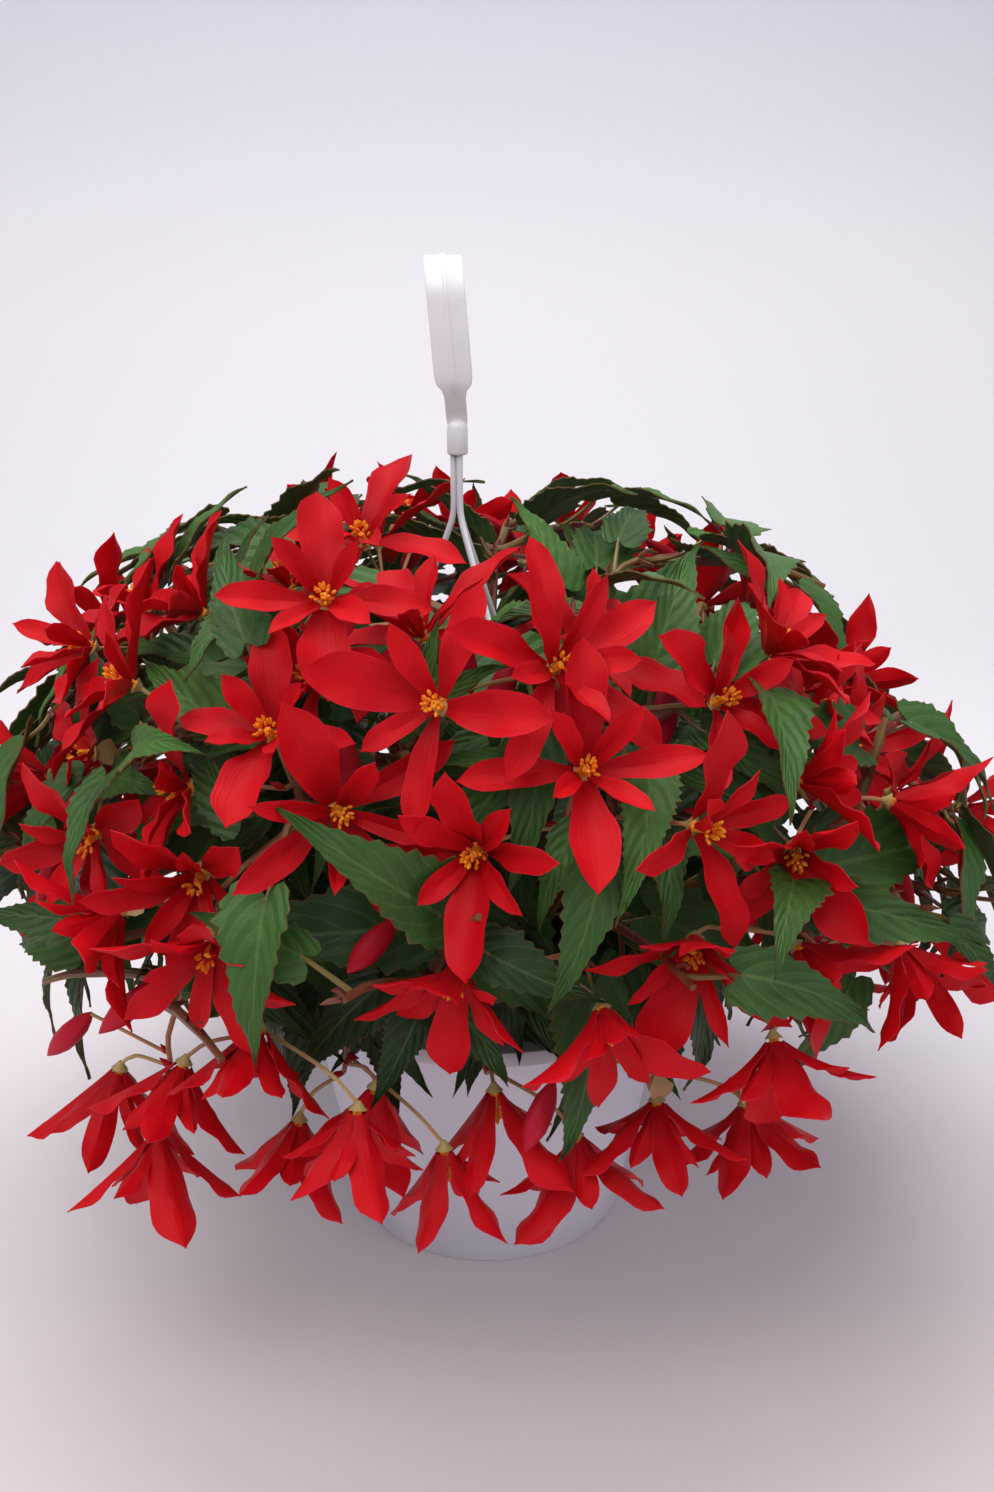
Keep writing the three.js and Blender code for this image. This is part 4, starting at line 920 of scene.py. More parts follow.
class Blank:
    """A flat slab to shape blades from. Each corner knows its place across (-1 to 1) and along (0 to 1), and
    its side."""

    def __init__(self, across, along):
        deselect()
        bpy.ops.mesh.primitive_grid_add(x_subdivisions=across, y_subdivisions=along, size=2)
        slab = bpy.context.object
        thick = slab.modifiers.new("slab", "SOLIDIFY")
        thick.thickness = 2
        thick.offset = 0
        bpy.ops.object.modifier_apply(modifier=thick.name)
        corners = np.array([v.co[:] for v in slab.data.vertices])
        self.v = corners[:, 0]
        self.u = (corners[:, 1] + 1) / 2
        self.side = np.sign(corners[:, 2])
        self.row = np.rint(self.u * along).astype(int)
        self.faces = np.array([tuple(p.vertices) for p in slab.data.polygons])
        self.under = np.array([p.normal.z < -0.5 for p in slab.data.polygons])
        bpy.data.objects.remove(slab)


class Heap:
    """Vertices, faces, face materials and a vector per vertex, gathered into one mesh."""

    def __init__(self):
        self.points, self.marks, self.faces, self.looks = [], [], [], []
        self.count = 0

    def add(self, points, faces, look, marks):
        """look is one material index or one per face. marks are along, across and tone for each vertex."""
        points = np.asarray(points, dtype=float)
        marks = np.broadcast_to(np.asarray(marks, dtype=float), (len(points), 3))
        self.points.append(points)
        self.marks.append(marks)
        self.faces.extend(tuple(int(corner) + self.count for corner in face) for face in faces)
        self.looks.extend(np.broadcast_to(look, len(faces)).tolist())
        self.count += len(points)

    def made(self, name, materials):
        mesh = bpy.data.meshes.new(name)
        mesh.from_pydata(np.concatenate(self.points) * MM, [], self.faces)
        for material in materials:
            mesh.materials.append(material)
        mesh.polygons.foreach_set("material_index", self.looks)
        marks = mesh.attributes.new("blade", "FLOAT_VECTOR", "POINT")
        marks.data.foreach_set("vector", np.concatenate(self.marks).ravel())
        mesh.validate()
        obj = bpy.data.objects.new(name, mesh)
        bpy.context.scene.collection.objects.link(obj)
        return obj


def curved(points, step):
    """A smooth line through points, with a new point about every step."""
    points = np.asarray(points, dtype=float)
    padded = np.vstack([2 * points[0] - points[1], points, 2 * points[-1] - points[-2]])
    out = []
    for i in range(1, len(padded) - 2):
        a, b, c, d = padded[i - 1:i + 3]
        count = max(int(np.linalg.norm(c - b) / step), 1)
        for k in range(count):
            t = k / count
            out.append(0.5 * (2 * b + (c - a) * t + (2 * a - 5 * b + 4 * c - d) * t * t
                              + (3 * b - a - 3 * c + d) * t ** 3))
    out.append(points[-1])
    return np.array(out)


# A direction that no route starts along, to turn the first ring by
RING_START = (0.31, 0.24, 0.92)


def rings_along(route, radii, sides):
    """Rings of points round a route, each turned as little as it can be from the one before."""
    route = np.asarray(route, dtype=float)
    tangents = np.gradient(route, axis=0)
    tangents /= np.maximum(np.linalg.norm(tangents, axis=1), 1e-9)[:, None]
    angles = np.arange(sides) * 2 * math.pi / sides
    normal = np.asarray(RING_START, dtype=float)
    rings = []
    for point, tangent, radius in zip(route, tangents, radii):
        normal = normal - tangent * normal.dot(tangent)
        normal /= np.linalg.norm(normal)
        other = np.cross(tangent, normal)
        rings.append(point + radius * (np.outer(np.cos(angles), normal) + np.outer(np.sin(angles), other)))
    return np.array(rings)


def lofted(heap, rings, look, tone):
    """Faces between rings with the same count, and over both ends."""
    rows, sides, _ = rings.shape
    faces = []
    for row in range(rows - 1):
        for k in range(sides):
            low, high = row * sides, (row + 1) * sides
            after = (k + 1) % sides
            faces.append((low + k, low + after, high + after, high + k))
    faces.append(tuple(range(sides - 1, -1, -1)))
    faces.append(tuple(range((rows - 1) * sides, rows * sides)))
    along = np.repeat(np.linspace(0, 1, rows), sides)
    marks = np.stack([along, np.zeros(rows * sides), np.full(rows * sides, tone)], axis=1)
    heap.add(rings.reshape(-1, 3), faces, look, marks)


def tube_on(heap, route, radii, sides, look, tone):
    """A round stalk. radii are one for each point, or its first and last."""
    if len(radii) == 2:
        radii = np.linspace(*radii, len(route))
    lofted(heap, rings_along(route, radii, sides), look, tone)


# Materials


def linear(code):
    """An sRGB hex colour as linear red, green, blue and alpha."""
    channels = [int(code[i:i + 2], 16) / 255 for i in (1, 3, 5)]
    return [c / 12.92 if c <= 0.04045 else ((c + 0.055) / 1.055) ** 2.4 for c in channels] + [1]


def add_node(tree, kind, links=None, output=0, **settings):
    """Adds a node and gives one of its outputs. An input is a number, a colour or another node's output."""
    node = tree.nodes.new("ShaderNode" + kind)
    for key, value in settings.items():
        setattr(node, key, value)
    for key, value in (links or {}).items():
        socket = node.inputs[key]
        if isinstance(value, bpy.types.NodeSocket):
            tree.links.new(value, socket)
        else:
            socket.default_value = value
    return node.outputs[output]


# A Mix node's sockets for colours: its share is input 0, the colours are 6 and 7, and it gives output 2
MIXED = 2
SOFT = {"interpolation_type": "SMOOTHSTEP"}


def fresh_material(name, **shader):
    """A material with only its shader. Keys are the shader's sockets with _ for spaces."""
    material = bpy.data.materials.new(name)
    material.use_nodes = True
    tree = material.node_tree
    body = tree.nodes["Principled BSDF"]
    for key, value in shader.items():
        body.inputs[key.replace("_", " ")].default_value = value
    return material, tree, body


def dressed(tree, body, colour, height, depth, strength):
    """Joins a colour and a relief of some depth in metres to the shader."""
    relief = add_node(tree, "Bump", {"Height": height, "Distance": depth, "Strength": strength})
    tree.links.new(colour, body.inputs["Base Color"])
    tree.links.new(relief, body.inputs["Normal"])


def blade_marks(tree):
    """Along, across and tone of a blade, from the piece's own attribute."""
    marks = add_node(tree, "Attribute", output="Vector", attribute_name="blade")
    return [add_node(tree, "SeparateXYZ", {0: marks}, axis) for axis in "XYZ"]


def leaf_veins(tree, along, across):
    """1 on the rib, less on side veins and 0 between them, and the distance to the nearest side vein."""
    aside = add_node(tree, "Math", {0: across}, operation="ABSOLUTE")
    slant = add_node(tree, "Math", {0: aside, 1: VEIN_SLANT}, operation="MULTIPLY")
    level = add_node(tree, "Math", {0: along, 1: slant}, operation="SUBTRACT")
    count = add_node(tree, "Math", {0: level, 1: VEIN_COUNT}, operation="MULTIPLY")
    share = add_node(tree, "Math", {0: count}, operation="FRACT")
    centred = add_node(tree, "Math", {0: share, 1: 0.5}, operation="SUBTRACT")
    off = add_node(tree, "Math", {0: centred}, operation="ABSOLUTE")
    veins = add_node(tree, "MapRange", {"Value": off, "From Min": 0.43, "From Max": 0.49, "To Max": 0.7},
                     **SOFT)
    rib = add_node(tree, "MapRange", {"Value": aside, "From Min": 0.08, "From Max": 0.03}, **SOFT)
    return add_node(tree, "Math", {0: veins, 1: rib}, operation="MAXIMUM"), off


def leaf_upper(dark, light, vein, rim):
    # Young begonia leaf: satin, quilted between sunk pale veins, no two leaves the same green
    material, tree, body = fresh_material("begonia_leaf_upper", Roughness=0.5, IOR=1.38,
                                          Subsurface_Weight=0.08, Subsurface_Scale=0.002)
    along, across, tone = blade_marks(tree)
    veins, off = leaf_veins(tree, along, across)
    here = add_node(tree, "TexCoord", output="Object")
    patch = add_node(tree, "TexNoise", {"Vector": here, "Scale": 55, "Detail": 4})
    # Random patches and tones, with the painted light of the leaf's height carried in tone, choose between
    # the dark and light greens
    green_tone_and_painted_light = add_node(tree, "Math", {0: patch, 1: 0.5, 2: tone}, operation="MULTIPLY_ADD", use_clamp=True)
    green = add_node(tree, "Mix", {0: green_tone_and_painted_light, 6: linear(dark), 7: linear(light)}, MIXED, data_type="RGBA")
    pale = add_node(tree, "Math", {0: veins, 1: 0.18}, operation="MULTIPLY")
    green = add_node(tree, "Mix", {0: pale, 6: green, 7: linear(vein)}, MIXED, data_type="RGBA")
    aside = add_node(tree, "Math", {0: across}, operation="ABSOLUTE")
    edge = add_node(tree, "MapRange", {"Value": aside, "From Min": 0.965, "From Max": 0.998, "To Max": 0.55},
                    **SOFT)
    green = add_node(tree, "Mix", {0: edge, 6: green, 7: linear(rim)}, MIXED, data_type="RGBA")
    # The blade stands highest midway between veins, with a crinkle of about 3 mm over it
    quilt = add_node(tree, "Math", {0: patch, 1: 0.3}, operation="MULTIPLY")
    quilt = add_node(tree, "Math", {0: quilt, 1: off}, operation="SUBTRACT")
    crinkle = add_node(tree, "TexNoise", {"Vector": here, "Scale": 320, "Detail": 3})
    height = add_node(tree, "Math", {0: crinkle, 1: 0.35, 2: quilt}, operation="MULTIPLY_ADD")
    dressed(tree, body, green, height, 0.0015, 0.7)
    return material


def leaf_under(pale, vein):
    # The leaf's back: duller and paler, with standing reddish veins
    material, tree, body = fresh_material("begonia_leaf_underside", Roughness=0.6, IOR=1.42)
    along, across, _ = blade_marks(tree)
    veins, off = leaf_veins(tree, along, across)
    share = add_node(tree, "Math", {0: veins, 1: 0.5}, operation="MULTIPLY")
    green = add_node(tree, "Mix", {0: share, 6: linear(pale), 7: linear(vein)}, MIXED, data_type="RGBA")
    dressed(tree, body, green, off, 0.0015, 0.6)
    return material


def stem_skin(young, old):
    # Fleshy begonia stem: juicy red-brown, greener where it is young, with a soft shine
    material, tree, body = fresh_material("begonia_stem", Roughness=0.38, IOR=1.42, Subsurface_Weight=0.1,
                                          Subsurface_Scale=0.002)
    tone = blade_marks(tree)[2]
    here = add_node(tree, "TexCoord", output="Object")
    patch = add_node(tree, "TexNoise", {"Vector": here, "Scale": 90, "Detail": 3})
    share = add_node(tree, "Math", {0: patch, 1: 0.7, 2: tone}, operation="MULTIPLY_ADD", use_clamp=True)
    colour = add_node(tree, "Mix", {0: share, 6: linear(old), 7: linear(young)}, MIXED, data_type="RGBA")
    grain = add_node(tree, "TexNoise", {"Vector": here, "Scale": 400, "Detail": 2})
    dressed(tree, body, colour, grain, 0.0003, 0.5)
    return material


def petal_satin(name, deep, bright, edge_colour):
    # Begonia tepal: satin and full of juice, so it glows red, with fine lines along it, a pinker rim and
    # painted shade that deepens its base
    material, tree, body = fresh_material(name, Roughness=0.5, IOR=1.3, Subsurface_Weight=0.1,
                                          Subsurface_Scale=0.003, Subsurface_Radius=(1.0, 0.08, 0.06),
                                          Specular_IOR_Level=0.35)
    along, across, tone = blade_marks(tree)
    # The noise is drawn out along the blade, so it reads as about nine fine lines across each half
    finer = add_node(tree, "Math", {0: across, 1: 9.0}, operation="MULTIPLY")
    own = add_node(tree, "Math", {0: tone, 1: 30.0}, operation="MULTIPLY")
    lines = add_node(tree, "CombineXYZ", {0: finer, 1: along, 2: own})
    streak = add_node(tree, "TexNoise", {"Vector": lines, "Scale": 1.6, "Detail": 3})
    own = add_node(tree, "Math", {0: tone, 1: 0.5}, operation="MULTIPLY")
    share = add_node(tree, "Math", {0: streak, 1: 0.4, 2: own}, operation="MULTIPLY_ADD")
    # Painted shade: the base of each tepal and bud, where the blades meet, is painted a deeper red and the
    # tip brighter
    outer = add_node(tree, "MapRange", {"Value": along, "From Min": 0.0, "From Max": 0.7}, **SOFT)
    share = add_node(tree, "Math", {0: outer, 1: 0.4, 2: share}, operation="MULTIPLY_ADD", use_clamp=True)
    red = add_node(tree, "Mix", {0: share, 6: linear(deep), 7: linear(bright)}, MIXED, data_type="RGBA")
    aside = add_node(tree, "Math", {0: across}, operation="ABSOLUTE")
    rim = add_node(tree, "MapRange", {"Value": aside, "From Min": 0.86, "From Max": 0.99, "To Max": 0.5},
                   **SOFT)
    red = add_node(tree, "Mix", {0: rim, 6: red, 7: linear(edge_colour)}, MIXED, data_type="RGBA")
    dressed(tree, body, red, streak, 0.0008, 0.4)
    return material


def speckled(name, first, second, spread, grain, relief, **shader):
    """A material of two colours in patches. spread is where one gives way to the other, grain the noise's
    scale and detail, and relief the same for the bumps, with their depth and strength."""
    material, tree, body = fresh_material(name, **shader)
    here = add_node(tree, "TexCoord", output="Object")
    patch = add_node(tree, "TexNoise", {"Vector": here, "Scale": grain[0], "Detail": grain[1]})
    share = add_node(tree, "MapRange", {"Value": patch, "From Min": spread[0], "From Max": spread[1]},
                     **SOFT)
    colour = add_node(tree, "Mix", {0: share, 6: linear(first), 7: linear(second)}, MIXED, data_type="RGBA")
    bumps = add_node(tree, "TexNoise", {"Vector": here, "Scale": relief[0], "Detail": relief[1]})
    dressed(tree, body, colour, bumps, relief[2], relief[3])
    return material, tree, body, here


def pollen(orange, yellow):
    # Ripe anthers: matt orange grains of about 1 mm on a fleshy column
    return speckled("begonia_anthers", orange, yellow, (0.35, 0.65), (500, 2), (1500, 2, 0.0003, 0.6),
                    Roughness=0.6, IOR=1.4)[0]


def moulded_plastic(name, colour, shade, roughness):
    # Injection-moulded polypropylene: a soft gloss, faint flow marks and a fine grain, drawn coarser to show
    material, tree, body, here = speckled(name, shade, colour, (0.3, 0.75), (14, 3), (900, 2, 0.00012, 0.4),
                                          IOR=1.49, Subsurface_Weight=0.06, Subsurface_Scale=0.003)
    wear = add_node(tree, "TexNoise", {"Vector": here, "Scale": 60, "Detail": 4})
    rough = add_node(tree, "Math", {0: wear, 1: 0.16, 2: roughness - 0.08}, operation="MULTIPLY_ADD")
    tree.links.new(rough, body.inputs["Roughness"])
    return material


def peat(dark, light):
    # Moist peat: black-brown crumbs of 1 to 3 mm with paler fibres
    return speckled("peat_soil", dark, light, (0.4, 0.72), (420, 6), (420, 6, 0.003, 0.9), Roughness=0.92,
                    IOR=1.4)[0]


def studio_paper(colour, near, upper):
    # Seamless studio paper: matt and faintly cloudy, with painted shade that makes it a tone deeper towards
    # the front, the right and the top
    material, tree, body = fresh_material("studio_paper", Roughness=0.9, IOR=1.3)
    here = add_node(tree, "TexCoord", output="Object")
    x, y, z = (add_node(tree, "SeparateXYZ", {0: here}, axis) for axis in "XYZ")
    # Painted shade: the floor is painted towards the near colour at the front, more so on the right
    front = add_node(tree, "MapRange", {"Value": y, "From Min": -0.35, "From Max": 0.6, "To Min": 1,
                                        "To Max": 0}, **SOFT)
    right = add_node(tree, "MapRange", {"Value": x, "From Min": -0.3, "From Max": 0.5, "To Min": 0.55,
                                        "To Max": 1.0}, **SOFT)
    cloud = add_node(tree, "TexNoise", {"Vector": here, "Scale": 1.2, "Detail": 2})
    cloud = add_node(tree, "Math", {0: cloud, 1: 0.12}, operation="MULTIPLY")
    share = add_node(tree, "Math", {0: front, 1: right, 2: cloud}, operation="MULTIPLY_ADD", use_clamp=True)
    tone = add_node(tree, "Mix", {0: share, 6: linear(colour), 7: linear(near)}, MIXED, data_type="RGBA")
    # Painted shade: the backdrop is painted deeper towards its top
    high = add_node(tree, "MapRange", {"Value": z, "From Min": 0.35, "From Max": 1.1}, **SOFT)
    tone = add_node(tree, "Mix", {0: high, 6: tone, 7: linear(upper)}, MIXED, data_type="RGBA")
    tree.links.new(tone, body.inputs["Base Color"])
    return material


# The pot, its soil and its hanger

POT_LINE, POT_BAND = 96.0, 109.0
DRAIN = {"count": 4, "first": 45, "ring": 48, "radius": 4.5}
PAST = 5
SOIL_SHARES = (0.98, 0.85, 0.7, 0.55, 0.4, 0.25, 0.12)
SOIL = {"edge": 4, "slack": 0.15, "seed": 11, "lump": 0.9, "sink": 1.2, "crumb": 1.1}


def wall_radius(z):
    return POT["base"] + (POT["top"] - POT["base"]) * z / POT["height"]


def make_pot(settings):
    top, wall, floor, chamfer = POT["height"], POT["wall"], POT["floor"], POT["chamfer"]
    lip = top - RIM_LIP
    profile = [
        # Foot and chamfer
        (POT["base"] - chamfer, 0), (POT["base"] - 0.5, 0.4), (wall_radius(chamfer), chamfer),
        # The fine line, and the band that makes the upper wall a little wider
        (wall_radius(POT_LINE) - 0.05, POT_LINE - 0.4), (wall_radius(POT_LINE) + 0.35, POT_LINE),
        (wall_radius(POT_LINE) + 0.5, POT_LINE + 0.8), (wall_radius(POT_BAND) + 0.5, POT_BAND - 0.4),
        (wall_radius(POT_BAND) + POT_BAND_STEP, POT_BAND), (wall_radius(POT_BAND) + 1.6, POT_BAND + 0.8),
        # Under the rim, down inside its lip, round it and over the top
        (wall_radius(top - 4.6) + 1.6, top - 4.8), (RIM_REACH - 2.2, top - 4.4),
        (RIM_REACH - 1.6, top - 4.9), (RIM_REACH - 1.6, lip + 0.3), (RIM_REACH - 1.2, lip),
        (RIM_REACH - 0.3, lip), (RIM_REACH, lip + 0.4), (RIM_REACH, top - 1.2),
        (RIM_REACH - 0.3, top - 0.4), (RIM_REACH - 1.2, top),
        (wall_radius(top) - wall + 0.8, top), (wall_radius(top) - wall, top - 0.8),
        # Down the inside
        (wall_radius(floor) - wall, floor),
    ]
    pot = turned_shell(profile, settings.sides)
    for azimuth in STRAND_WAYS.values():
        x, y, _ = place(azimuth, STRAND["ring"], 0)
        bore(pot, x, y, STRAND["hole"], lip - 4, top + PAST)
    for i in range(DRAIN["count"]):
        x, y, _ = place(DRAIN["first"] + i * 360 / DRAIN["count"], DRAIN["ring"], 0)
        bore(pot, x, y, DRAIN["radius"], -PAST, floor + PAST)
    smooth(pot, 30)
    white = moulded_plastic("moulded_white_polypropylene", settings.colour, settings.shade, 0.34)
    settle(pot, "white_pot", [white], ["pot"])


def make_soil(settings):
    inside = lambda z: wall_radius(z) - POT["wall"] - GAP - SOIL["slack"]
    low = POT["floor"] + GAP
    edge = SOIL_TOP - SOIL["edge"]
    profile = [(inside(low), low), (inside(edge), edge)]
    profile += [(inside(SOIL_TOP) * share - 3, SOIL_TOP) for share in SOIL_SHARES]
    soil = turned_shell(profile, 72)
    draw = np.random.default_rng(SOIL["seed"])
    for corner in soil.data.vertices:
        x, y, z = corner.co / MM
        if z > SOIL_TOP - 1:
            lump = math.sin(x * 0.21) * math.cos(y * 0.17) + math.sin(x * 0.07 + y * 0.11)
            crumb = draw.uniform(-SOIL["crumb"], SOIL["crumb"])
            corner.co.z += (lump * SOIL["lump"] - SOIL["sink"] + crumb) * MM
    smooth(soil, 60)
    settle(soil, "peat_soil", [peat(settings.dark, settings.light)], ["soil"])


def strap_route():
    """Depth, height, width and whether ribbed, along the hook: neck, crease, straight strap and bend."""
    neck, width, crease, bend = HOOK["neck"], HOOK["width"], HOOK["crease"], HOOK["bend"]
    middle, lead = HOOK["top"] - bend, -7.0
    route = [
        (0, 431, 8, 0), (-0.4, 434, neck - 0.8, 0), (-1, 437, neck, 0), (-3.2, 442, neck, 0),
        (-5, 447, neck, 0), (-6.2, 450.4, neck + 1.6, 0.3), (lead, crease, width - 2, 1),
        (lead - 0.4, crease + 3, width - 0.4, 1), (lead - 0.5, crease + 7, width, 1),
        (lead - 0.5, 475, width, 1), (lead - 0.2, 485, width, 1),
    ]
    for degrees in np.arange(180, -29, -8):
        angle = math.radians(degrees)
        route.append((lead + bend + bend * math.cos(angle), middle + bend * math.sin(angle), width, 1))
    return route


def strap_rings():
    """The strap's cross-section, with its rib, at each place along the hook."""
    route, rings = strap_route(), []
    for i, (y, z, wide, ribbed) in enumerate(route):
        before, after = route[max(i - 1, 0)], route[min(i + 1, len(route) - 1)]
        along = unit((0, after[0] - before[0], after[1] - before[1]))
        outer = (0, -along[2], along[1])
        half, deep = wide / 2, HOOK["thickness"] / 2
        shift = HOOK["lean"] * max(z - SOCKET["top"], 0)
        flank, crest = deep + 0.35 * ribbed, deep + 0.95 * ribbed
        section = [
            (-half, -deep + 0.5), (-half + 0.5, -deep), (half - 0.5, -deep), (half, -deep + 0.5),
            (half, deep - 0.5), (half - 0.5, deep), (2.2, deep), (1.2, flank), (0.5, crest),
            (-0.5, crest), (-1.2, flank), (-2.2, deep), (-half + 0.5, deep), (-half, deep - 0.5),
        ]
        rings.append([add((across + shift, y, z), outer, depth) for across, depth in section])
    return np.array(rings)


def make_hook(white):
    heap = Heap()
    lofted(heap, strap_rings(), 0, 0)
    strap = heap.made("strap", [])
    wide, foot, head = SOCKET["radius"], SOCKET["bottom"], SOCKET["top"]
    profile = [(wide - 0.8, foot), (wide - 0.2, foot + 0.5), (wide, foot + 1.2), (wide, head - 3),
               (wide - 0.5, head - 1.4), (wide - 1.5, head - 0.2), (wide - 3, head)]
    cup = turned_shell(profile, 40)
    bore(cup, 0, 0, SOCKET["mouth"], foot - 7, STRAND["top"] + GAP, 32)
    combine(strap, cup, "UNION")
    activate(strap)
    # With no window open this operator turns the other way, so the angle is given as its opposite
    bpy.ops.transform.rotate(value=-math.radians(HOOK["turn"]), orient_axis="Z", center_override=(0, 0, 0))
    strap.location.x = HANGER_X * MM
    smooth(strap, 32)
    settle(strap, "strap_hook", [white], ["hanger_hook"])


def make_strands(white):
    for way, azimuth in STRAND_WAYS.items():
        heap = Heap()
        route = strand_route(azimuth)
        parting = curved([*route[1:4], blend(route[3], route[4], 0.05)], 3)
        landing = curved([blend(route[4], route[3], 0.03), route[4], route[5]], 2.5)
        line = [route[0], *parting, *landing, route[6]]
        tube_on(heap, line, (STRAND["radius"], STRAND["radius"]), 14, 0, 0)
        foot = route[-1]
        barb = [(foot[0], foot[1], BARB_TOP - BARB_HEIGHT + z) for z in (0, 1.2, 4.6, 5)]
        tube_on(heap, barb, [1.2, 1.9, BARB_RADIUS, BARB_RADIUS - 0.15], 14, 0, 0)
        strand = heap.made(f"strand_{way}", [white])
        smooth(strand, 40)
        settle(strand, f"hanger_strand_{way}_fine", [white], [f"hanger_strand_{way}"])


# Leafy stems

STEM_LOOK, UPPER_LOOK, UNDER_LOOK = 0, 1, 2
TOOTH_PATTERN = np.array([1.0, -0.55, 0.45, -0.35])
# Half the blade's thickness, then depths in mm or shares of the leaf's width
BLADE = {"thick": 0.35, "heart": 0.09, "tooth": 0.14, "tooth_rake": 0.014, "waves": 2.6, "wave": 0.07,
         "quilt": 0.3, "rib": 0.7}
# Painted light: leaves are painted lighter where they grow high and darker low down, where the plant is in
# shade
PALER = {"from": 235, "over": 300, "most": 0.3, "draw": 0.25}
NODE_SWELLING, NODE_REACH = 0.5, 6
SCALE_LEAF = {"turn": 0.8, "stands_out": 3, "length": 7, "bow": 1.2}


def leaf_outline(u):
    wide = 0.72 + 0.28 * np.sin(np.clip((u + 0.08) / 0.24, 0, 1) * math.pi / 2)
    along = np.clip((u - 0.16) / 0.84, 0, 1)
    return np.where(u < 0.16, wide, (1 - along) ** 1.18)


def add_leaf(heap, blank, leaf, draw):
    t, side = blank.v, blank.side
    aside = np.abs(t)
    u = blank.u - BLADE["heart"] * (1 - blank.u) ** 3 * np.sin(0.85 * math.pi * aside)
    edge = (aside > 0.99) & (blank.u > 0.01)
    tooth = np.where(edge, TOOTH_PATTERN[blank.row % 4], 0) * (1 - 0.5 * blank.u)
    v = t * leaf_outline(blank.u) * (1 + BLADE["tooth"] * tooth)
    u = u + BLADE["tooth_rake"] * tooth * (1 - blank.u)
    swell = np.sin(2 * math.pi * (BLADE["waves"] * blank.u + draw.random()))
    wave = swell * aside ** 2 * leaf["half"] * BLADE["wave"]
    between = np.cos(2 * math.pi * VEIN_COUNT * (blank.u - VEIN_SLANT * aside))
    quilt = between * np.sin(math.pi * aside) * BLADE["quilt"]
    ridge = np.where((side < 0) & (aside < 0.01), BLADE["rib"] * (1 - blank.u), 0)
    points = on_leaf(leaf, u, v, wave - quilt + side * BLADE["thick"] - ridge)
    # Painted light, named age here: leaves high on the plant are painted paler and low ones darker, for the
    # lit top and the shaded underside of the plant
    age = np.clip((leaf["base"][2] - PALER["from"]) / PALER["over"], -PALER["most"], PALER["most"])
    tone = draw.uniform(-PALER["draw"], PALER["draw"]) + age
    marks = np.stack([blank.u, t, np.full(len(t), tone)], axis=1)
    heap.add(points, blank.faces, np.where(blank.under, UNDER_LOOK, UPPER_LOOK), marks)


def add_stipules(heap, point, tangent, away, draw):
    """Two small papery scales where a leaf leaves the stem."""
    for turn in (-SCALE_LEAF["turn"], SCALE_LEAF["turn"]):
        way = np.array(turned(away, tangent, turn))
        rise = np.array(tangent) * SCALE_LEAF["length"]
        tip = np.array(point) + way * (STEM["radius"] + SCALE_LEAF["stands_out"]) + rise
        foot = np.array(point) + way * STEM["radius"] * 0.5
        rings = rings_along([foot, (foot + tip) / 2 + way * SCALE_LEAF["bow"], tip], [1.4, 1.2, 0.15], 5)
        lofted(heap, rings, STEM_LOOK, draw.uniform(-0.5, -0.2))


def make_leafy_stem(stem, blanks, materials, draw):
    heap = Heap()
    line = curved(stem["points"], 9)
    radii = stem_radius(np.linspace(0, 1, len(line)))
    for leaf in stem["leaves"]:
        near = np.linalg.norm(line - np.array(leaf["petiole"][0]), axis=1)
        radii = radii + NODE_SWELLING * np.exp(-(near / NODE_REACH) ** 2)
    tube_on(heap, line, radii, 8, STEM_LOOK, draw.uniform(-0.3, 0))
    for leaf in stem["leaves"]:
        foot, base = (np.array(p) for p in leaf["petiole"])
        bow = np.array(leaf["upper"]) * -1.2
        route = curved([foot, (foot + base) / 2 + bow, base + np.array(leaf["heading"]) * 1.5], 5)
        tube_on(heap, route, (1.35, 1.0), 6, STEM_LOOK, draw.uniform(-0.1, 0.35))
        add_leaf(heap, blanks[1] if leaf.get("filler") else blanks[0], leaf, draw)
        i = int(np.argmin(np.linalg.norm(line - foot, axis=1)))
        tangent = unit(tuple(line[min(i + 1, len(line) - 1)] - line[max(i - 1, 0)]))
        away = square(tuple(base - foot), tangent)
        add_stipules(heap, tuple(line[i]), tangent, away, draw)
    piece = heap.made(stem["name"] + "_fine", materials)
    smooth(piece, 42)
    settle(piece, stem["name"] + "_fine", materials, [stem["name"]])


# Flower sprays

PETAL_LOOK, STALK_LOOK, ANTHER_LOOK, BUD_LOOK = 0, 1, 2, 3
WIDTH_STOPS = np.linspace(0, 1, len(TEPAL_WIDTHS))
# Rounding of the tip, then shares of a tepal's length or half width
SATIN = {"round": 0.1, "twist": 0.4, "waves": 2.1, "ripple": 0.2, "crease": 0.8, "crease_width": 0.2,
         "swerve": 0.06, "cup": (0.2, 0.5), "thick": 0.32, "thinning": 0.14}
INNER = {"missing": 0.12, "lean": (0.45, 0.85), "foot": 2.6, "raised": 1.2, "length": (0.62, 0.82),
         "width": (8, 11.5), "curl": (0.1, 0.8)}
ANTHERS = {"female": 10, "male": 16, "turn": 2.4, "spread": 4.6, "low": 6, "dome": 6.5, "wide": 0.85,
           "long": 1.9}
OVARY = ((13, 0.8, 0.2), (11.5, 1.6, 1.0), (8, 2.6, 1.9), (4.5, 2.4, 1.7), (1.5, 1.6, 0.7))
BUD_STOPS = ((-0.02, 0.16), (0.08, 0.5), (0.24, 0.86), (0.45, 1), (0.66, 0.96), (0.82, 0.66), (0.93, 0.32),
             (1, 0.05))
BUD_SIDES, BUD_FLATNESS, BUD_SEAM = 12, 0.72, 0.1


def tepal_outline(u):
    """The width along a tepal, rounded off between its stops."""
    spread = [np.interp(np.clip(u + shift, 0, 1), WIDTH_STOPS, TEPAL_WIDTHS) for shift in (-0.06, 0, 0.06)]
    body = (spread[0] + 2 * spread[1] + spread[2]) / 4
    return np.where(u > 1 - SATIN["round"], body * np.sqrt(np.clip((1 - u) / SATIN["round"], 0, 1)), body)


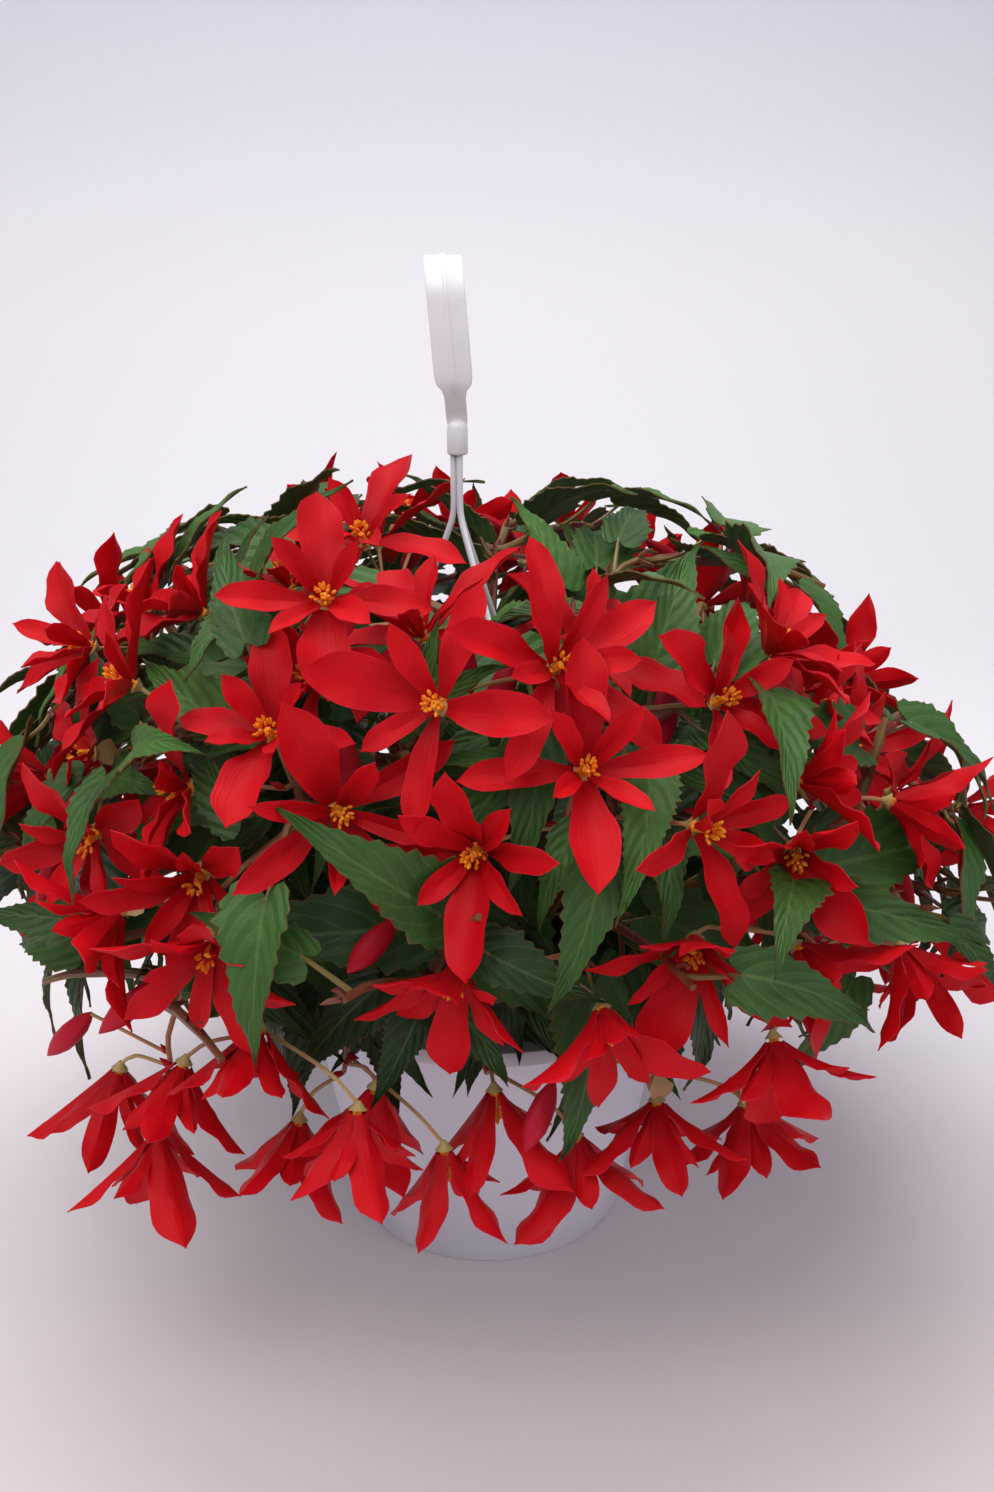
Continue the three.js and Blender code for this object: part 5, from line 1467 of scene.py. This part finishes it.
def add_tepal(heap, blank, tepal, draw):
    u, t, side = 1 - (1 - blank.u) ** 1.35, blank.v, blank.side
    points, uppers = bent_rows(tepal["base"], tepal["heading"], tepal["inner"], tepal["length"],
                               tepal["curl"], u)
    across = np.array(cross(tepal["heading"], tepal["inner"]))
    half = (tepal["width"] / 2) * tepal_outline(u)
    twist = draw.uniform(-SATIN["twist"], SATIN["twist"]) * u
    swell = np.sin(2 * math.pi * (SATIN["waves"] * u + draw.random() + 0.2 * np.sign(t)))
    ripple = swell * np.abs(t) ** 1.5 * half * SATIN["ripple"]
    crease = -SATIN["crease"] * np.exp(-(t / SATIN["crease_width"]) ** 2) * np.sin(math.pi * u)
    swerve = draw.uniform(-SATIN["swerve"], SATIN["swerve"]) * tepal["length"] * u * u
    lift = half * draw.uniform(*SATIN["cup"]) * t * t + twist * t * half + ripple + crease
    lift = lift + side * (SATIN["thick"] - SATIN["thinning"] * np.abs(t))
    points = points + np.outer(half * t + swerve, across) + uppers * lift[:, None]
    marks = np.stack([u, t, np.full(len(t), draw.uniform(-0.3, 0.4))], axis=1)
    heap.add(points, blank.faces, PETAL_LOOK, marks)


def inner_tepals(bloom, draw):
    """The shorter, narrower ring that stands up between the outer tepals."""
    outer, facing = bloom["tepals"], bloom["facing"]
    ring = []
    for i, tepal in enumerate(outer):
        after = outer[(i + 1) % len(outer)]
        if draw.random() < INNER["missing"]:
            continue
        away = square(add(tepal["heading"], after["heading"]), facing)
        lean = draw.uniform(*INNER["lean"])
        ring.append({
            "base": add(add(bloom["base"], away, INNER["foot"]), facing, INNER["raised"]),
            "heading": add(times(facing, math.cos(lean)), away, math.sin(lean)),
            "inner": add(times(facing, math.sin(lean)), away, -math.cos(lean)),
            "length": tepal["length"] * draw.uniform(*INNER["length"]),
            "width": draw.uniform(*INNER["width"]), "curl": draw.uniform(*INNER["curl"]),
        })
    return ring


def add_anthers(heap, bead, bloom, draw):
    """The orange tuft: grains round the middle, over a short column."""
    base, facing = np.array(bloom["base"]), bloom["facing"]
    ahead = np.array(facing)
    one = np.array(square((0.3, 0.8, 0.5), facing))
    two = np.cross(facing, one)
    lofted(heap, rings_along([base - ahead * 2, base + ahead * 6], [2.2, 1.6], 6), ANTHER_LOOK, 0.2)
    corners, faces = bead
    count = ANTHERS["female" if bloom["female"] else "male"]
    for i in range(count):
        turn, out = i * ANTHERS["turn"], math.sqrt((i + 0.5) / count)
        way = (one * math.cos(turn) + two * math.sin(turn)) * out * draw.uniform(0.7, 1.15)
        height = ANTHERS["low"] + ANTHERS["dome"] * (1 - out * out) + draw.uniform(-0.8, 0.8)
        centre = base + way * ANTHERS["spread"] + ahead * height
        lean = np.array(unit(tuple(way * 0.9 + ahead)))
        aside = np.array(square((0.2, 0.9, 0.4), tuple(lean)))
        other = np.cross(lean, aside)
        flat = (corners[:, :1] * aside + corners[:, 1:2] * other) * ANTHERS["wide"]
        heap.add(centre + flat + corners[:, 2:] * lean * ANTHERS["long"], faces, ANTHER_LOOK, (0.5, 0, 0.3))


def add_ovary(heap, bloom):
    """A female bloom's three-winged ovary, behind the tepals."""
    facing = np.array(bloom["facing"])
    route = [np.array(bloom["base"]) - facing * behind for behind, _, _ in OVARY]
    rings = rings_along(route, [radius for _, radius, _ in OVARY], 12)
    for ring, middle, (_, _, wing) in zip(rings, route, OVARY):
        for k in (0, 4, 8):
            ring[k] = middle + (ring[k] - middle) * (1 + wing)
    lofted(heap, rings, STALK_LOOK, 0.25)


def add_bud(heap, bud, draw):
    heading = np.array(bud["heading"])
    wide = np.array(square(cross(bud["heading"], bud["flat"]), bud["heading"]))
    narrow = np.cross(heading, wide)
    angles = np.arange(BUD_SIDES) * 2 * math.pi / BUD_SIDES
    seam = 1 - BUD_SEAM * np.abs(np.cos(angles)) ** 12
    ring = np.outer(np.cos(angles) * seam, wide) + BUD_FLATNESS * np.outer(np.sin(angles), narrow)
    rings = [np.array(bud["base"]) + heading * bud["length"] * u + BUD_WIDTH / 2 * share * ring
             for u, share in BUD_STOPS]
    lofted(heap, np.array(rings), BUD_LOOK, draw.uniform(-0.2, 0.5))


def add_bract(heap, point, way, draw):
    """A small scale where a pedicel forks off."""
    point, way = np.array(point), np.array(way)
    side = np.array(square((0.1, 0.2, 1), tuple(way)))
    rings = rings_along([point, point + way * 3 + side, point + way * 6.5 + side * 2.4], [1.0, 1.7, 0.2], 5)
    lofted(heap, rings, BUD_LOOK, draw.uniform(-0.3, 0.3))


def make_flower_spray(spray, blanks, bead, materials, draw):
    heap = Heap()
    stalk = [np.array(p) for p in spray["stalk"]]
    # The solid stands just off its stem. Here the stalk starts inside it
    rooted = stalk[0] - (stalk[1] - stalk[0]) / np.linalg.norm(stalk[1] - stalk[0]) * 1.8
    tube_on(heap, curved([rooted, *stalk[1:]], 6), (1.5, 1.15), 8, STALK_LOOK, draw.uniform(-0.2, 0.1))
    for part in spray["blooms"] + spray["buds"]:
        tube_on(heap, curved(part["pedicel"], 4), (0.95, 0.9), 6, STALK_LOOK, draw.uniform(0, 0.5))
        way = unit(sub(part["pedicel"][1], part["pedicel"][0]))
        add_bract(heap, part["pedicel"][0], way, draw)
    for bloom in spray["blooms"]:
        facing = np.array(bloom["facing"])
        base = np.array(bloom["base"])
        cup = [base - facing * behind for behind in (5, 3.2, 1.2)]
        lofted(heap, rings_along(cup, [1.0, 2.2, 4.0], 10), STALK_LOOK, 0.6)
        for tepal in bloom["tepals"]:
            add_tepal(heap, blanks[0], tepal, draw)
        for tepal in inner_tepals(bloom, draw):
            add_tepal(heap, blanks[1], tepal, draw)
        add_anthers(heap, bead, bloom, draw)
        if bloom["female"]:
            add_ovary(heap, bloom)
    for bud in spray["buds"]:
        add_bud(heap, bud, draw)
    piece = heap.made(spray["name"] + "_fine", materials)
    smooth(piece, 45)
    settle(piece, spray["name"] + "_fine", materials, [spray["name"]])


def bead_blank():
    """A small oval grain: its corners and faces, about 1 mm in radius."""
    deselect()
    bpy.ops.mesh.primitive_uv_sphere_add(segments=5, ring_count=3, radius=1)
    ball = bpy.context.object
    corners = np.array([v.co[:] for v in ball.data.vertices])
    faces = [tuple(p.vertices) for p in ball.data.polygons]
    bpy.data.objects.remove(ball)
    return corners, faces


# The studio. Its lengths are metres

PAPER = {"width": 16, "depth": 9, "back": 1.2, "bend": 1.1, "steps": 16, "wall": 2.4}
# Place, what it points at, size, and colour
SOFTBOXES = {
    "key": ((-1.0, -1.3, 2.3), (0, 0, 0.2), (2.2, 2.0), "#FFFAF5"),
    "fill": ((1.7, -1.3, 1.5), (0, 0, 0.2), (1.6, 1.6), "#F7F6FF"),
    "top": ((0.0, 0.2, 2.4), (0, 0, 0.3), (1.6, 1.0), "#FFFDFA"),
    "wall": ((-0.2, 0.9, 2.3), (0, 2.3, 0.7), (3.0, 1.0), "#FBF8FF"),
}
AIR_COLOUR = "#F1EEF6"
CAMERA = {"tilt": 71.4, "sensor": 36, "far": 20}


def make_paper(settings):
    """A sheet on the floor that bends up into a wall at its back."""
    deselect()
    bpy.ops.mesh.primitive_plane_add(size=1)
    paper = bpy.context.object
    bpy.ops.transform.resize(value=(PAPER["width"], PAPER["depth"], 1))
    paper.location = (0, PAPER["back"] - PAPER["depth"] / 2, 0)
    bpy.ops.object.transform_apply(location=True, scale=True)
    bpy.ops.object.mode_set(mode="EDIT")
    work = bmesh.from_edit_mesh(paper.data)
    for face in work.faces:
        face.select_set(False)
    for edge in work.edges:
        edge.select_set(all(v.co.y > 1 for v in edge.verts))
    bmesh.update_edit_mesh(paper.data)
    last = (0.0, 0.0)
    for i in range(1, PAPER["steps"] + 1):
        angle = math.pi / 2 * i / PAPER["steps"]
        here = (PAPER["bend"] * math.sin(angle), PAPER["bend"] * (1 - math.cos(angle)))
        move = (0, here[0] - last[0], here[1] - last[1])
        bpy.ops.mesh.extrude_edges_move(TRANSFORM_OT_translate={"value": move})
        last = here
    bpy.ops.mesh.extrude_edges_move(TRANSFORM_OT_translate={"value": (0, 0, PAPER["wall"])})
    bpy.ops.object.mode_set(mode="OBJECT")
    smooth(paper, 60)
    paper.name = "studio_paper"
    paper.data.materials.append(studio_paper(settings.paper, settings.floor, settings.upper))


def make_studio(settings):
    make_paper(settings)
    scene = bpy.context.scene
    for name, (place_m, target, size_m, colour) in SOFTBOXES.items():
        light = bpy.data.lights.new(f"{name}_softbox", "AREA")
        light.shape = "RECTANGLE"
        light.size, light.size_y = size_m
        light.energy = getattr(settings, name)
        light.color = linear(colour)[:3]
        softbox = bpy.data.objects.new(light.name, light)
        softbox.location = place_m
        softbox.rotation_euler = (Vector(target) - Vector(place_m)).to_track_quat("-Z", "Y").to_euler()
        scene.collection.objects.link(softbox)
    world = bpy.data.worlds.new("studio_air")
    world.use_nodes = True
    sky = world.node_tree.nodes["Background"]
    sky.inputs["Color"].default_value = linear(AIR_COLOUR)
    sky.inputs["Strength"].default_value = settings.air
    scene.world = world
    scene.view_settings.view_transform = "Standard"

    camera = bpy.data.cameras.new("camera")
    camera.sensor_fit = "VERTICAL"
    camera.sensor_height = CAMERA["sensor"]
    camera.lens = settings.lens
    camera.clip_end = CAMERA["far"]
    holder = bpy.data.objects.new("camera", camera)
    holder.location = times(VIEWPOINT, MM)
    holder.rotation_euler = (math.radians(CAMERA["tilt"]), 0, 0)
    scene.collection.objects.link(holder)
    scene.camera = holder


# The add-on


def hex_colour(name, description, default):
    """A colour that a user would change."""
    return StringProperty(name=name, description=f"{description}, sRGB hex", default=default)


def power(name, description, default):
    return FloatProperty(name=name, description=description, default=default, unit="POWER")


class BegoniaPot(PropertyGroup):
    sides: IntProperty(name="Sides", description="Faces round the pot", default=96, min=24, max=256)
    colour: hex_colour("Colour", "Plastic", "#E4E3EC")
    shade: hex_colour("Shade", "Plastic where the melt flowed", "#DAD9E4")
    dark: hex_colour("Peat", "Wet peat", "#1E140D")
    light: hex_colour("Fibres", "Peat fibres", "#4A3423")


class BegoniaHanger(PropertyGroup):
    colour: hex_colour("Colour", "Plastic", "#F5F4FA")
    shade: hex_colour("Shade", "Plastic where the melt flowed", "#ECEBF2")


class BegoniaFoliage(PropertyGroup):
    # The dark and light greens are mixed by random patches and tones, and by painted light that makes the
    # higher leaves paler
    dark: hex_colour("Dark green", "Old leaves", "#173010")
    light: hex_colour("Light green", "Young leaves", "#4A7830")
    vein: hex_colour("Veins", "Leaf veins", "#7FA058")
    rim: hex_colour("Leaf rim", "Leaf's toothed edge", "#7A3A2C")
    under: hex_colour("Underside", "Backs of the leaves", "#465E32")
    under_vein: hex_colour("Veins below", "Veins on the backs", "#8A5A48")
    young: hex_colour("Young stem", "Stem tips", "#8A8A4A")
    old: hex_colour("Old stem", "Stem bases", "#6E3024")
    seed: IntProperty(name="Seed", description="Which plant of many this is", default=5, min=0)


class BegoniaFlowers(PropertyGroup):
    deep: hex_colour("Deep red", "Shaded petal", "#A0020E")
    bright: hex_colour("Bright red", "Lit petal", "#DC0918")
    rim: hex_colour("Petal rim", "Petal's edge", "#C91630")
    bud: hex_colour("Bud", "Closed flower", "#C2203A")
    orange: hex_colour("Anthers", "Anthers in shade", "#F07A10")
    yellow: hex_colour("Pollen", "Lit pollen", "#FFB52A")
    young: hex_colour("Young stalk", "Stalk tips", "#B9A86C")
    old: hex_colour("Old stalk", "Stalk bases", "#B4584A")
    seed: IntProperty(name="Seed", description="Which flowers of many these are", default=9, min=0)


class BegoniaStudio(PropertyGroup):
    lens: FloatProperty(name="Lens", description="Camera lens in mm", default=35.0, min=10, max=200)
    key: power("Key light", "Main softbox", 38.0)
    fill: power("Fill light", "Second softbox", 12.0)
    top: power("Top light", "Softbox overhead", 22.0)
    wall: power("Wall light", "Softbox on the backdrop", 14.0)
    air: FloatProperty(name="Room light", description="Light from all sides", default=0.41, min=0)
    paper: hex_colour("Paper", "Backdrop", "#EBEAED")
    # Painted shade: the upper paper and the floor colour are deeper tones for the backdrop's top and the
    # floor's front
    upper: hex_colour("Upper paper", "Backdrop's top", "#D2D2DC")
    floor: hex_colour("Floor", "Nearest part of the floor", "#DAD0D6")


LAYOUT = []


def plant_layout():
    """The layout is worked out once and kept for the operators."""
    if not LAYOUT:
        bush, stems, sprays = lay_plant()
        lay_more(bush, stems, sprays)
        LAYOUT.extend((stems, sprays))
    return LAYOUT


class BEGONIA_OT_pot(Operator):
    """Makes the pot with its rim, lines and holes, and the soil in it"""

    bl_idname = "begonia.pot"
    bl_label = "Pot and soil"

    def execute(self, context):
        settings = context.scene.begonia_pot
        make_pot(settings)
        make_soil(settings)
        return {"FINISHED"}


class BEGONIA_OT_hanger(Operator):
    """Makes the strap hook and the strands that hold the pot"""

    bl_idname = "begonia.hanger"
    bl_label = "Hanger"

    def execute(self, context):
        settings = context.scene.begonia_hanger
        white = moulded_plastic("hanger_white_polypropylene", settings.colour, settings.shade, 0.3)
        make_hook(white)
        make_strands(white)
        return {"FINISHED"}


class BEGONIA_OT_leafy_stems(Operator):
    """Makes each stem with its petioles and toothed leaves"""

    bl_idname = "begonia.leafy_stems"
    bl_label = "Leafy stems"

    def execute(self, context):
        settings = context.scene.begonia_foliage
        blanks = (Blank(8, 40), Blank(6, 24))
        materials = [stem_skin(settings.young, settings.old),
                     leaf_upper(settings.dark, settings.light, settings.vein, settings.rim),
                     leaf_under(settings.under, settings.under_vein)]
        draw = np.random.default_rng(settings.seed)
        for stem in plant_layout()[0]:
            make_leafy_stem(stem, blanks, materials, draw)
        return {"FINISHED"}


class BEGONIA_OT_flower_sprays(Operator):
    """Makes each spray with its stalks, blooms, stamens and buds"""

    bl_idname = "begonia.flower_sprays"
    bl_label = "Flower sprays"

    def execute(self, context):
        settings = context.scene.begonia_flowers
        materials = [petal_satin("begonia_tepal", settings.deep, settings.bright, settings.rim),
                     stem_skin(settings.young, settings.old),
                     pollen(settings.orange, settings.yellow),
                     petal_satin("begonia_bud", settings.deep, settings.bud, settings.rim)]
        draw = np.random.default_rng(settings.seed)
        blanks, bead = (Blank(6, 12), Blank(4, 10)), bead_blank()
        for spray in plant_layout()[1]:
            make_flower_spray(spray, blanks, bead, materials, draw)
        return {"FINISHED"}


class BEGONIA_OT_studio(Operator):
    """Sets up the paper, the lights and the camera"""

    bl_idname = "begonia.studio"
    bl_label = "Studio"

    def execute(self, context):
        make_studio(context.scene.begonia_studio)
        return {"FINISHED"}


OPERATORS = (BEGONIA_OT_pot, BEGONIA_OT_hanger, BEGONIA_OT_leafy_stems, BEGONIA_OT_flower_sprays,
             BEGONIA_OT_studio)
GROUPS = {"begonia_pot": BegoniaPot, "begonia_hanger": BegoniaHanger, "begonia_foliage": BegoniaFoliage,
          "begonia_flowers": BegoniaFlowers, "begonia_studio": BegoniaStudio}


class BEGONIA_PT_panel(Panel):
    """Lists the pieces and their settings"""

    bl_label = "Hanging basket begonia"
    bl_idname = "BEGONIA_PT_panel"
    bl_space_type = "VIEW_3D"
    bl_region_type = "UI"
    bl_category = "Begonia"

    def draw(self, context):
        for operator in OPERATORS:
            self.layout.operator(operator.bl_idname)
        for name, group in GROUPS.items():
            box = self.layout.box()
            for key in group.__annotations__:
                box.prop(getattr(context.scene, name), key)


def register():
    for name, group in GROUPS.items():
        bpy.utils.register_class(group)
        setattr(bpy.types.Scene, name, PointerProperty(type=group))
    for cls in (*OPERATORS, BEGONIA_PT_panel):
        bpy.utils.register_class(cls)


def unregister():
    for cls in (BEGONIA_PT_panel, *reversed(OPERATORS)):
        bpy.utils.unregister_class(cls)
    for name, group in GROUPS.items():
        delattr(bpy.types.Scene, name)
        bpy.utils.unregister_class(group)


def main():
    register()
    bpy.ops.begonia.pot()
    bpy.ops.begonia.hanger()
    bpy.ops.begonia.leafy_stems()
    bpy.ops.begonia.flower_sprays()
    bpy.ops.begonia.studio()


if __name__ == "__main__":
    main()
